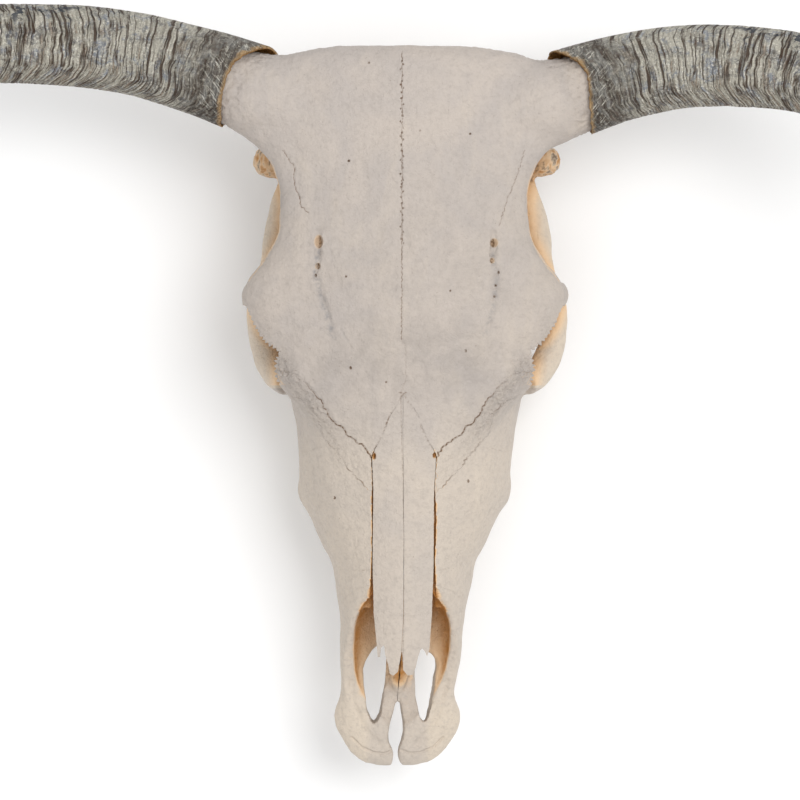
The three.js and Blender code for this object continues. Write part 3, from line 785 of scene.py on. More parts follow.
NASAL_ROOT: Outline = ((-3, 243), (0, 244), (5, 252), (9.5, 259), (12, 266), (17, 277), (20.5, 283), (22.5, 289),
                       (22, 300), (21.5, 310), (21.4, 320), (21.5, 332), (21.5, 342), (21.6, 362), (21.4, 374),
                       (21, 385), (20.6, 400))
NASAL_GAPS: dict[Side, tuple[float, ...]] = {
    Side.LEFT: (0.1, 0.1, 0.1, 0.1, 0.1, 0.12, 0.25, 0.6, 0.25, 0.4, 1.2, 1.7, 1.6, 0.8, 1.6, 2.6, 3.6),
    Side.RIGHT: (0.1, 0.1, 0.1, 0.1, 0.1, 0.12, 0.3, 0.8, 0.4, 0.8, 1.2, 0.7, 0.6, 0.7, 1.4, 2.4, 3.6),
}
NASAL_TIPS: dict[Side, Outline] = {
    Side.LEFT: ((20, 412), (19.6, 425), (18, 430.5), (16.4, 427), (14.3, 424.5), (12.9, 426), (11.4, 431.5),
                (10.4, 437), (8.6, 443.3), (5, 443.8), (1.6, 440), (0.2, 427), (-3, 427)),
    Side.RIGHT: ((18.8, 416), (17.8, 424), (17, 430.8), (15.2, 430.8), (14.9, 424), (12.8, 422), (11.7, 429),
                 (9.4, 435.5), (7.8, 442.6), (5.2, 444), (2.2, 441), (0.4, 427), (-3, 427)),
}
NASAL_BESIDE: Outline = ((230, 156.5), (290, 150), (340, 142.5), (385, 134.5), (410, 132), (450, 126), (450, 175),
                         (230, 180))
LACRIMAL_ABOVE: Outline = (
    (23, 289), (28, 281), (34.5, 276.5), (40.5, 273), (43.5, 267), (47, 266), (53.5, 259), (57.5, 250),
    (67, 239), (77, 230), (100, 226), (104, 238), (84, 244), (71, 249), (62, 260), (58.5, 274), (52.5, 281),
    (45, 288.5), (40.5, 296), (34, 302), (28, 309), (22, 314))
FRONTAL_HALF: Outline = (
    (170, -90), (170, 228), (102, 232), (80.5, 237), (69, 244), (60, 255), (56, 266), (41, 282), (29, 295), (22, 300))

CUTS: tuple[BoneCut, ...] = (
    BoneCut("premaxilla", "bone",
            beside=((368, 175), (376, 160), (380, 140), (392, 112), (412, 94), (462, 60), (540, 50), (540, 175)),
            nearest=0.0, teeth=0.5),
    BoneCut("lacrimal", "bone", above=LACRIMAL_ABOVE, beside=((220, 104), (330, 104), (330, 200), (220, 200)),
            nearest=10.0, teeth=0.9),
    BoneCut("zygomatic", "bone_shaded",
            beside=((92, 100), (92, 50), (232, 50), (268, 62), (284, 80), (286, 112), (282, 134), (262, 134),
                    (250, 124), (244, 108), (190, 108), (168, 112)),
            nearest=52.0),
    BoneCut("frontal", "bone",
            above=(*FRONTAL_HALF, *[(-x, u) for x, u in reversed(FRONTAL_HALF)]),
            beside=((-90, 110), (60, 110), (90, 118), (165, 118), (184, 114), (214, 114), (242, 122),
                    (310, 122), (310, 190), (-90, 190)),
            paired=False),
    BoneCut("maxilla", "bone", beside=((226, -10), (226, 46), (240, 60), (240, 175), (560, 175), (560, -10)),
            nearest=0.0, teeth=0.4),
    BoneCut("palatine", "bone_shaded",
            beside=((140, -10), (140, 50), (168, 62), (226, 80), (242, 60), (242, -10)), nearest=-60.0,
            paired=False, teeth=0.4),
)


@dataclass
class Skull:
    """The whole bony skull: blocked out, carved, given its fine forms and parted into its bones."""

    forehead: Forehead = field(default_factory=Forehead)
    braincase: BrainCase = field(default_factory=BrainCase)
    orbits: OrbitRegion = field(default_factory=OrbitRegion)
    face: Face = field(default_factory=Face)
    bones: dict[str, Piece] = field(default_factory=dict)

    def build(self) -> dict[str, Piece]:
        """Makes every bone.

        Returns:
            The finished bones by their names.
        """
        body = self.block_out()
        self.carve_finely(body)
        self.part_nasals(body)
        Bench.carve(body, [self.face.opening(), *both(self.orbits.comb)])
        self.part_bones(body)
        return self.bones

    @staticmethod
    def carve_finely(body: Piece) -> None:
        """Divides the skin where fine forms follow and works them in."""
        Bench.refine(body, Relief(body).near_lines(), 2)
        Relief(body).carve()
        Bench.carve(body, [Shape.plan(((-200, -60), (200, -60), (200, 560), (-200, 560)), -80, GROUND)])

    def block_out(self) -> Piece:
        """The solid skull with its hollows, before the bones are parted."""
        body = Bench.join([*self.forehead.build(), *self.braincase.masses(), *self.face.masses()])
        Bench.fuse(body, 2.0, 9)
        Bench.carve(body, self.orbits.hollows())
        Bench.fuse(body, 1.7, 3)
        body = Bench.join([body, *self.orbits.bars(), *self.braincase.processes()])
        Bench.fuse(body, 1.5, 1)
        Bench.carve(body, [*self.face.hollows(), self.braincase.magnum(), self.face.air_space(),
                           self.face.opening(whole=False)])
        body = Bench.join([body, *self.face.scrolls()])
        Bench.fuse(body, DETAIL, 3)
        log.info("blocked out: %d faces", len(body.data.polygons))
        return body

    def part_nasals(self, body: Piece) -> None:
        """Parts the two nasal bones off, with the slits beside them."""
        for side in Side:
            blocks = []
            for gap in (0.0, SLIT):
                gaps = (*NASAL_GAPS[side], *[SLIT] * len(NASAL_TIPS[side])) if gap else 0.0
                outline = ragged(widened((*NASAL_ROOT, *NASAL_TIPS[side]), gaps), 1.3, 0.25 if gap else 0.12, 9)
                block = Shape.plan(outline, 100, ABOVE, side)
                depth = Shape.flank(widened(NASAL_BESIDE, gap), -40, 40)
                line = [(x * side.value + 0.1 - gap * 0.3, u) for x, u in NASAL_SEAM]
                middle = Shape.plan((*line, (60, 560), (60, 150)), 0, 240, side)
                for other in (depth, middle):
                    Bench.cut(block, other, shared=True)
                blocks.append(block)
            name = f"nasal_{side.label}"
            self.bones[name] = Bench.part(body, f"{name}_bone", *blocks)

    def part_bones(self, body: Piece) -> None:
        """Parts the fine skull into its bones along the sutures."""
        for cut in CUTS:
            for side in Side if cut.paired else (Side.LEFT,):
                name = f"{cut.node}_{side.label}" if cut.paired else cut.node
                blocks = [self.region(cut, gap, side) for gap in (0.0, SUTURE)]
                self.bones[name] = Bench.part(body, f"{name}_bone", *blocks)
                log.info("parted %s: %d faces", name, len(self.bones[name].data.polygons))
        Bench.keep_largest(body)
        body.name = body.data.name = "braincase_bone"
        self.bones["braincase"] = body

    @staticmethod
    def region(cut: BoneCut, gap: float, side: Side) -> Piece:
        """The closed shape that one bone is parted off with."""
        above, beside = cut.lines(side)
        blocks = []
        if cut.above:
            outline = widened(above, gap)
            blocks.append(Shape.plan(outline, BELOW, ABOVE, side))
        if cut.beside:
            outline = widened(beside, gap)
            near = cut.nearest + 0.06 if cut.paired else cut.nearest
            far = BESIDE if cut.paired or cut.nearest <= -BESIDE else -cut.nearest
            blocks.append(Shape.flank(outline, near - gap, far, side))
        if len(blocks) == 2:
            Bench.cut(*blocks, shared=True)
        return blocks[0]


# ------------------------------------------------------------------ fine forms


@dataclass(frozen=True)
class Groove:
    """A furrow along a line seen from above, as (x, u) points, with its stain from 0 to 1."""

    line: Outline
    width: float
    depth: float
    teeth: float = 0.0
    stain: float = 0.0
    grey: float = 0.0

    def path(self) -> list[tuple[float, float]]:
        """The line with its own zigzag."""
        return ragged(self.line, 1.3, self.teeth, int(abs(self.line[0][0]) * 10), closed=False)


@dataclass(frozen=True)
class Pit:
    """A small opening for a vessel in a surface that looks up."""

    x: float
    u: float
    across: float
    along: float
    depth: float

    def inner(self, x: np.ndarray, u: np.ndarray) -> np.ndarray:
        """How deep inside the edge of the opening's painted shade places lie, 1 in its middle and 0 at that edge."""
        return 1 - np.hypot((x - self.x) / (self.across * 1.25), (u - self.u) / (self.along * 1.25))


GROOVES: tuple[Groove, ...] = (
    # between the two frontal bones, and between the nasal bones
    Groove(((-0.7, 4), (-0.7, 60), (-0.7, 129), (-1, 206)), 1.2, 0.6, 0.5, 0.72),
    Groove(((-1, 206), (1.4, 210), (1.8, 222), (2.1, 233), (-1.2, 244)), 1.1, 0.4, 0.6, 0.45),
    Groove(((-1.7, 243), (-1.6, 256), (-0.4, 300), (0.4, 345), (0.6, 400), (0.4, 443)), 1.3, 0.45, 0.1, 0.5),
    # the vessel furrows over the eyes, with a funnel into each opening
    Groove(((-60.2, 131), (-60.8, 137), (-60, 146)), 6.5, 1.6, 0.0, 0.15),
    Groove(((-60, 143), (-60.5, 151), (-61.5, 160), (-58.5, 172), (-55, 184), (-51.5, 196), (-49.5, 205)), 5.6, 1.5,
           0.5, 0.0, 1.0),
    Groove(((-66.5, 134), (-67, 146), (-68, 160), (-65, 176), (-60, 190)), 4.0, 0.6, 0.8),
    Groove(((-44, 199), (-40, 206), (-35.5, 214)), 2.6, 0.5, 0.4, 0.1, 0.3),
    Groove(((63.5, 131), (64.2, 138), (63.4, 146)), 6.0, 1.5, 0.0, 0.15),
    Groove(((63.5, 142), (62.6, 152), (66.5, 160), (65, 170), (63.2, 182), (60.5, 194), (57, 202)), 5.2, 1.3, 0.6,
           0.0, 0.6),
    # the sutures at the temples
    Groove(((-85, 73), (-77, 84), (-76.3, 98), (-72.8, 106), (-72.1, 112), (-66.5, 117)), 1.2, 0.7, 0.6, 0.75),
    Groove(((85.4, 73), (80, 90), (73, 108), (67.2, 126)), 1.2, 0.6, 0.6, 0.6),
    # short cracks where the muzzle bones end beside the nasals
    Groove(((-37, 369), (-30, 370), (-24, 369)), 1.0, 0.5, 0.4, 0.4),
    Groove(((26, 369), (33, 368)), 1.0, 0.5, 0.4, 0.4),
    # hair cracks along the grain of the face
    *[Groove(((x, u), (x + lean_x, u + long / 2), (x + lean_x * 1.6, u + long)), 0.9, 0.2, 0.3, 0.14)
      for x, u, long, lean_x in ((-12, 300, 46, -0.6), (10.5, 330, 52, 0.8), (-9, 262, 30, 1.2), (-31, 322, 40, -2),
                                 (36, 330, 44, -1.5), (-14.5, 372, 40, 0.4), (13, 392, 30, -0.5), (-52, 210, 22, 4),
                                 (30, 204, 30, -3), (-28, 60, 34, 2), (52, 96, 30, -4), (-88, 30, 26, 6))],
    # the folds at the front of the muzzle
    *[Groove([(x * side, u) for x, u in line], wide, deep)
      for side in (1, -1) for line, wide, deep in (
          (((34, 452), (31, 470), (24, 487), (13, 498)), 5.5, 1.1),
          (((3, 502), (9, 504.5), (17, 504), (26, 500), (33, 493)), 2.6, 1.3))],
)
PITS: tuple[Pit, ...] = (
    Pit(-59.3, 137.4, 3.0, 4.5, 4.8), Pit(-60, 154.5, 1.8, 2.2, 2.4), Pit(-61.5, 161, 0.8, 1.2, 1.4),
    Pit(63.8, 138.2, 2.7, 3.0, 4.4), Pit(62.6, 150.6, 1.6, 2.0, 2.4), Pit(67, 159, 0.9, 1.2, 1.4),
    Pit(65, 168, 0.8, 1.0, 1.4), Pit(64, 176, 0.7, 1.0, 1.2), Pit(-20.5, 288, 1.4, 2.6, 3.0),
    Pit(21.9, 287.5, 1.2, 2.0, 2.6), Pit(-24, 12, 0.8, 0.9, 1.2), Pit(-38, 81, 0.9, 0.9, 1.3),
    Pit(-40, 162, 0.7, 0.8, 1.0), Pit(12, 60, 0.7, 0.7, 0.9), Pit(33, 172, 0.8, 0.7, 1.0), Pit(-12, 236, 0.7, 0.9, 0.9),
    Pit(47, 62, 0.8, 0.7, 1.0),
    *[Pit(-0.8 + 1.1 * math.sin(k * 2.3), 11 + k * 3.3 + math.sin(k * 5.1), 0.55 + 0.2 * math.sin(k * 1.7), 0.8, 0.9)
      for k in range(40)],
    Pit(-37, 226, 0.9, 1.2, 1.4), Pit(44, 214, 0.9, 1.1, 1.3), Pit(-49, 318, 0.9, 1.2, 1.3),
    Pit(46, 306, 0.8, 1.2, 1.2),
)
TEAR_BAND: Outline = ((84, 229), (68, 247), (57, 261), (47, 276), (36, 290), (27, 300))
# openings deeper than this get painted amber shade, and their painted brown shade lies only on the side towards the
# midline
DEEP_PIT = 2.0  # past this depth an opening shows amber
COLLAR_U = (-12, 2.5, 12, 22, 35, 48, 57, 80)
COLLAR_X = (92, 93, 104, 114, 122, 128, 131, 133)
EDGE_U = (60, 84, 106, 128, 148, 164, 180, 184.5, 194, 202, 208.5, 213, 223, 236)
EDGE_X = (104, 93.5, 87.5, 89, 98.5, 111, 113, 110.4, 106.6, 101.8, 96.4, 90, 91.4, 90)


def rough_share(skull: np.ndarray) -> np.ndarray:
    """How rough and porous the bone is at each place: eye rims, tear bones, horn collars and nape."""
    x, u, z = skull.T
    side = np.abs(x)
    rim = np.exp(-(((side - 101) / 9) ** 2 + ((u - 198) / 17) ** 2)) * (z > 112) * 0.5
    orbit = np.exp(-(((side - 84) / 9) ** 2 + ((u - 222) / 10) ** 2)) * (z > 112) * 0.7
    band = distance_to([TEAR_BAND], np.stack([side, u], 1), 14.0)
    tear = np.clip(1.25 - band / 9, 0, 1) * (z > 104) * np.clip((side - 24) / 40, 0.35, 1) * 0.9
    collar = np.clip((side - np.interp(u, COLLAR_U, COLLAR_X) + 13) / 7, 0, 1) * (u < 80)
    nape = np.clip((24 - u) / 24, 0, 1) * (z < 150) * 0.6
    ear = (side > 84) * within(u, 58, 92) * within(z, 54, 92) * 0.6
    return np.clip(rim + orbit + tear + collar + nape + ear, 0, 1)


class Relief:
    """Fine forms worked into a finished skin by moving its vertices."""

    def __init__(self, piece: Piece) -> None:
        """Reads the skin's places and directions."""
        self.piece = piece
        self.scene = Bench.points(piece)
        self.skull = measured(self.scene)
        self.normal = Bench.normals(piece)
        self.push = np.zeros(len(self.scene))
        self.upper = np.clip((self.normal[:, 2] - 0.25) / 0.3, 0, 1) * (self.skull[:, 2] > 78)

    def near_lines(self) -> np.ndarray:
        """True for the vertices beside furrows, pits, sutures and the spiny rims."""
        lines = [groove.path() for groove in GROOVES if groove.width < 3]
        for side in Side:
            cut = next(cut for cut in CUTS if cut.node == "lacrimal")
            lines.append([(x * side.value, u) for x, u in cut.lines(side)[0]])
            lines.append([(x * side.value, u) for x, u in OrbitRegion().rim])
        reach = DETAIL * 1.1
        near = distance_to(lines, self.skull[:, :2], reach) < reach
        for pit in PITS:
            across, along = (self.skull[:, 0] - pit.x) / (pit.across + 1), (self.skull[:, 1] - pit.u) / (pit.along + 1)
            near |= np.hypot(across, along) < 1
        return near & (self.upper > 0)

    def carve(self) -> None:
        """Works all fine forms in."""
        plane = self.skull[:, :2]
        wobble = 0.55 + 0.9 * grain(self.skull, 2.6, 8)
        for groove in GROOVES:
            gap = distance_to([groove.path()], plane, groove.width)
            shape = np.clip(1 - (gap / (groove.width / 2)) ** 2, 0, 1)
            depth = np.clip(wobble, 0.25, 1.3) if groove.teeth else 1.0
            self.push -= groove.depth * shape * depth * self.upper
        for pit in PITS:
            across, along = (self.skull[:, 0] - pit.x) / pit.across, (self.skull[:, 1] - pit.u) / pit.along
            inside = 1 - across ** 2 - along ** 2
            self.push -= pit.depth * np.clip(inside, 0, 1) ** 0.8 * self.upper
        self.swell()
        self.roughen()
        Bench.move(self.piece, self.scene + self.normal * (self.push * MM)[:, None])

    def swell(self) -> None:
        """Gives the forehead and the face their gentle swells and dips."""
        side, u = np.abs(self.skull[:, 0]), self.skull[:, 1]
        for centre_x, centre_u, wide, long, height in (
                (0, 40, 26, 45, 1.4), (0, 180, 20, 40, 1.0), (58, 170, 13, 34, -2.4), (40, 95, 26, 34, -1.0),
                (97, 180, 13, 18, 1.6), (44, 232, 20, 16, -1.8), (34, 330, 12, 40, -1.4), (78, 226, 12, 12, 1.4),
                (84, 44, 20, 26, -1.2), (46, 268, 12, 12, 0.9), (14, 262, 10, 16, 0.8), (34, 478, 8, 14, 1.0)):
            fall = ((side - centre_x) / wide) ** 2 + ((u - centre_u) / long) ** 2
            self.push += height * np.exp(-fall) * self.upper

    def roughen(self) -> None:
        """Gives the bone its rough places and its slight unevenness."""
        share = rough_share(self.skull)
        under = np.clip(-self.normal[:, 2], 0, 1) * 0.3
        coarse = np.clip(share + under + 0.05, 0, 1)
        self.push += coarse * 1.0 * grain(self.skull, 3.0, 1)
        self.push += coarse * 0.6 * grain(self.skull, 1.5, 2)
        self.push -= share * 0.7 * np.clip(grain(self.skull, 2.0, 5) - 0.28, 0, 1) * 3
        self.push += 0.9 * grain(self.skull, 34.0, 3) + 0.42 * grain(self.skull, 11.0, 6)
        self.push += 0.16 * grain(self.skull * (1, 0.3, 1), 4.0, 7)


# ------------------------------------------------------------------ teeth


@dataclass
class ToothRow:
    """The six upper cheek teeth of one side."""

    side: Side
    lengths: tuple[float, ...] = (17, 19, 19, 24, 27, 29)
    front_u: float = 362.0
    back_u: float = 226.0
    front_x: float = 50.0
    back_x: float = 57.5
    front_z: float = 38.0
    floor_u: float = 236.0
    rise: float = 26.0
    front_wide: float = 8
    widening: float = 3
    bulge: float = 3

    def crown_height(self, u: np.ndarray | float) -> np.ndarray | float:
        """The height of the chewing plane at a distance from the poll."""
        return np.maximum(0.0, self.front_z * (u - self.floor_u) / (self.front_u - self.floor_u))

    def build(self) -> Piece:
        """Models each tooth and joins them to one row."""
        scale = (self.front_u - self.back_u) / sum(self.lengths)
        front = self.front_u
        teeth = []
        for number, length in enumerate(self.lengths):
            long = length * scale
            middle = front - long / 2
            front -= long
            along = (self.front_u - middle) / (self.front_u - self.back_u)
            x = self.front_x + (self.back_x - self.front_x) * along + self.bulge * math.sin(math.pi * along)
            teeth.append(self.tooth(x, middle, long, self.front_wide + self.widening * number / 5))
        row = Bench.join(teeth)
        row.name = row.data.name = f"teeth_{self.side.label}"
        Bench.modify(row, "SUBSURF", levels=1, render_levels=1)
        return row

    def tooth(self, x: float, u: float, long: float, wide: float) -> Piece:
        """One tooth: a ribbed crown with an enamel rim and worn hollows on its chewing face.

        Args:
            x: Distance of its middle from the midline.
            u: Distance of its middle from the poll.
            long: Its length along the row.
            wide: Half its width.

        Returns:
            The tooth.
        """
        bpy.ops.mesh.primitive_cylinder_add(vertices=40, radius=1, depth=1, end_fill_type="NGON")
        piece = bpy.context.active_object
        with Bench.editing(piece, "DESELECT"):
            pass  # the chewing face is picked below
        for face in piece.data.polygons:
            face.select = face.normal.z < -0.9
        bpy.ops.object.mode_set(mode="EDIT")
        bpy.ops.mesh.select_mode(type="FACE")
        bpy.ops.mesh.inset(thickness=0.13)
        bpy.ops.transform.translate(value=(0, 0, 0.035))
        bpy.ops.mesh.inset(thickness=0.28)
        bpy.ops.transform.translate(value=(0, 0, -0.02))
        bpy.ops.mesh.inset(thickness=0.16)
        bpy.ops.transform.translate(value=(0, 0, 0.16))
        bpy.ops.object.mode_set(mode="OBJECT")
        rough = Bench.points(piece)
        angle = np.arctan2(rough[:, 1], rough[:, 0])
        radius = np.hypot(rough[:, 0], rough[:, 1])
        up = rough[:, 2] + 0.5
        box = 1 / (np.abs(np.cos(angle)) ** 3.4 + np.abs(np.sin(angle)) ** 3.4) ** (1 / 3.4)
        ribs = 0.07 * np.cos(angle * 4 - 0.4) * np.clip(np.cos(angle), 0, 1) + 0.04 * np.cos(angle * 6)
        swell = radius * box * (1 + ribs) * (0.97 - 0.05 * up)
        base = self.crown_height(u + long * 0.5 * swell * np.sin(angle))
        place = np.stack([(x + wide * swell * np.cos(angle)) * self.side.value,
                          u + long * 0.5 * swell * np.sin(angle),
                          base + up * self.rise], axis=1)
        Bench.move(piece, settle(place))
        Shape.face_outwards(piece)
        return piece


# ------------------------------------------------------------------ horns


@dataclass
class HornSheath:
    """A horn sheath with its growth rings, its slanting mouth and the socket for the bony core."""

    side: Side
    path: Sequence[Place]
    socket: Sequence[Place]
    mouth_low: Outline
    mouth_high: Outline
    girth: Sequence[float] = (36.5, 32, 30.6, 29.8, 29.2, 28.6, 28.1, 26.9, 24.6, 21.1, 16.4, 10.6, 2.2)
    squeeze: float = 0.93
    socket_girth: Sequence[float] = (38, 33.8, 31.2, 28.6, 25.4)
    mouth_levels: tuple[float, float] = (138, 170)
    rings: int = 500
    sides: int = 150

    def build(self) -> Piece:
        """The sheath with its rings."""
        outer = Limb(self.path, [(r, r * self.squeeze) for r in self.girth], rings=self.rings, sides=self.sides)
        piece = outer.build(self.side)
        piece.name = piece.data.name = f"horn_sheath_{self.side.label}"
        self.grow(piece, outer)
        inner = Limb(self.socket, [(r, r * self.squeeze) for r in self.socket_girth])
        nicks = np.random.default_rng(3 + self.side.value).uniform(-0.7, 0.7, 200)

        def opening(corners: np.ndarray, z: float) -> np.ndarray:
            """Skull places of the slanting mouth at a height."""
            rows = np.asarray(self.mouth(z))
            steps = np.linspace(0, len(rows) - 1, 64)
            line = np.stack([np.interp(steps, np.arange(len(rows)), column) for column in rows.T], axis=1)
            line[1:-1, 0] += nicks[:62]
            line = np.vstack([line, (0, 120), (0, -60)])
            return np.stack([line[:, 0] * self.side.value, line[:, 1], np.full(len(line), z)], 1)

        corners = [tuple(row[:2]) for row in opening(np.zeros(0), self.mouth_levels[0])]
        Bench.carve(piece, [inner.build(self.side), Shape.block(corners, opening, 100, 178)])
        Bench.keep_largest(piece)
        self.chart(piece, outer)
        return piece

    def mouth(self, z: float) -> list[tuple[float, float]]:
        """The line of the mouth at a height, as (x, u) points."""
        low, high = np.asarray(self.mouth_low, float), np.asarray(self.mouth_high, float)
        share = (z - self.mouth_levels[0]) / (self.mouth_levels[1] - self.mouth_levels[0])
        return [tuple(row) for row in low + (high - low) * share]

    def nearest(self, piece: Piece, outer: Limb) -> tuple[np.ndarray, np.ndarray, np.ndarray]:
        """Where each vertex lies on the horn.

        Args:
            piece: The sheath.
            outer: The limb that it was made from.

        Returns:
            The distance along the horn, the angle around it and the nearest point of its middle line.
        """
        centre, across, rise = outer.frames(self.side, 481)
        middle = settle(centre)
        length = np.r_[0.0, np.cumsum(np.linalg.norm(np.diff(middle, axis=0), axis=1))]
        points = Bench.points(piece)
        index = np.empty(len(points), int)
        for start in range(0, len(points), 4000):
            block = points[start:start + 4000]
            index[start:start + 4000] = np.argmin(((block[:, None, :] - middle[None]) ** 2).sum(2), axis=1)
        flip = np.array([1.0, -1.0, 1.0])
        offset = points - middle[index]
        right = np.sum(offset * across[index] * flip, axis=1)
        up = np.sum(offset * rise[index] * flip, axis=1)
        tangent = np.gradient(middle, axis=0)
        tangent /= np.linalg.norm(tangent, axis=1)[:, None]
        along = length[index] + np.sum(offset * tangent[index], axis=1)
        return along, np.arctan2(up, right), middle[index]

    def ring_place(self, along: np.ndarray, angle: np.ndarray) -> tuple[np.ndarray, np.ndarray]:
        """The place along the rings, which sweep towards the tip on the muzzle's side of the horn.

        Args:
            along: Distance along the horn in metres.
            angle: Angle around it.

        Returns:
            The rings' place in metres, and how far each vertex faces the muzzle, from -1 to 1.
        """
        ahead = -np.cos(angle) * self.side.value
        around = np.stack([np.cos(angle), np.sin(angle)], axis=1)
        sweep = 0.009 * np.clip(ahead - 0.55, 0, 1) ** 2 / 0.2
        waver = grain(np.c_[around * 0.9, along / 0.09], 1.0, 11) * 0.0045
        fine = grain(np.c_[around * 4.6, along / 0.016], 1.0, 12) * 0.0012
        return along - sweep + waver + fine, ahead

    def grow(self, piece: Piece, outer: Limb) -> None:
        """Raises the growth rings and works the cracks between them in."""
        along, angle, middle = self.nearest(piece, outer)
        points = Bench.points(piece)
        around = np.stack([np.cos(angle), np.sin(angle)], axis=1)
        ring, ahead = self.ring_place(along, angle)
        pick = np.random.default_rng(40 + self.side.value)
        edges = np.cumsum(pick.uniform(0.0024, 0.0085, 160))
        depths = pick.uniform(0.15, 0.7, 160)
        place = np.clip(np.searchsorted(edges, ring), 0, 159)
        start, stop = np.r_[0.0, edges][place], edges[place]
        t = np.clip((ring - start) / (stop - start), 0, 1)
        broken = np.clip(0.55 + ahead * 0.2 + grain(np.c_[around * 2.2, ring / 0.012], 1.0, 13) * 1.3, 0, 1)
        profile = (1 - np.exp(-t * 5)) * (1 - t ** 6) - 0.9
        lumps = grain(np.c_[around * 1.1, along / 0.035], 1.0, 14) * 0.5 - 0.35
        flakes = np.clip(grain(np.c_[around * 3.2, along / 0.010], 1.0, 15) - 0.2, 0, 1) * -0.9
        base = np.clip((0.075 - along) / 0.03, 0, 1)
        tip = np.clip((0.45 - along) / 0.12, 0.12, 1)
        rise = (profile * depths[place] * broken * (1 - base * 0.6) + lumps + flakes) * tip
        out = points - middle
        out /= np.maximum(1e-6, np.linalg.norm(out, axis=1))[:, None]
        Bench.move(piece, points + out * (rise * MM)[:, None])

    def chart(self, piece: Piece, outer: Limb) -> None:
        """Writes where each vertex lies on the horn to the sheath's own attributes."""
        along, angle, middle = self.nearest(piece, outer)
        points = Bench.points(piece)
        radius = np.linalg.norm(points - middle, axis=1)
        outward = np.sum(Bench.normals(piece) * (points - middle), axis=1) / np.maximum(1e-6, radius)
        ring, ahead = self.ring_place(along, angle)
        skull = measured(points)
        edge = np.full(len(points), 90.0)
        for level in range(100, 181, 8):
            here = np.abs(skull[:, 2] - level) <= 4
            spots = np.stack([np.abs(skull[here, 0]), skull[here, 1]], 1)
            edge[here] = distance_to([self.mouth(level)], spots, 90.0) if here.any() else 90.0
        chart = np.stack([ahead, np.sin(angle), ring * 10], axis=1)
        place = np.stack([along * 10, edge / 10, (outward < 0.1).astype(float)], axis=1)
        for name, rows in (("chart", chart), ("place", place)):
            store = piece.data.attributes.new(name, "FLOAT_VECTOR", "POINT")
            store.data.foreach_set("vector", rows.astype(np.float32).ravel())


HORNS: dict[Side, tuple[Sequence[Place], Sequence[Place], Outline, Outline]] = {
    Side.LEFT: (
        ((84, 43, 138), (133, 26, 138), (162, 18.2, 138), (192, 13, 141), (222, 12, 146), (252, 14.2, 152),
         (283, 19.5, 160), (318, 32, 175), (350, 49.5, 201), (372.3, 69.5, 236), (384, 87.5, 276),
         (387, 100, 318), (382.4, 108, 356)),
        ((60, 46, 136), (94, 38.5, 138), (116, 31.5, 138), (134, 26, 138), (150, 21.5, 138)),
        ((103, -60), (103, 0), (108, 7), (115, 16), (121, 27), (126, 38), (129.5, 48), (132.5, 59), (134, 120)),
        ((111, -60), (111, 0.5), (119, 4.6), (126, 10.4), (129.5, 17), (130.5, 29), (131.3, 43), (133, 59),
         (134, 120))),
    Side.RIGHT: (
        ((84, 39, 138), (133, 19.3, 138), (160, 11, 138), (190, 3.5, 141), (220, -0.6, 146), (250, -2, 152),
         (283, -1.7, 160), (319, 5.5, 175), (352, 19.5, 201), (376.3, 37.5, 236), (390, 55.5, 276),
         (394, 69.5, 318), (390.4, 79.5, 356)),
        ((60, 45, 136), (94, 35, 138), (116, 26, 138), (134, 19.5, 138), (150, 14.5, 138)),
        ((95.5, -60), (95.5, 1), (104, 11), (111, 18.5), (118, 28), (123.5, 38), (128, 48), (131, 57.5), (133, 120)),
        ((107, -60), (107, -2), (114.6, 3.5), (119.7, 9.8), (123.3, 18.5), (127.2, 32), (129.4, 47), (130.6, 57.3),
         (132, 120))),
}


# ------------------------------------------------------------------ finishes


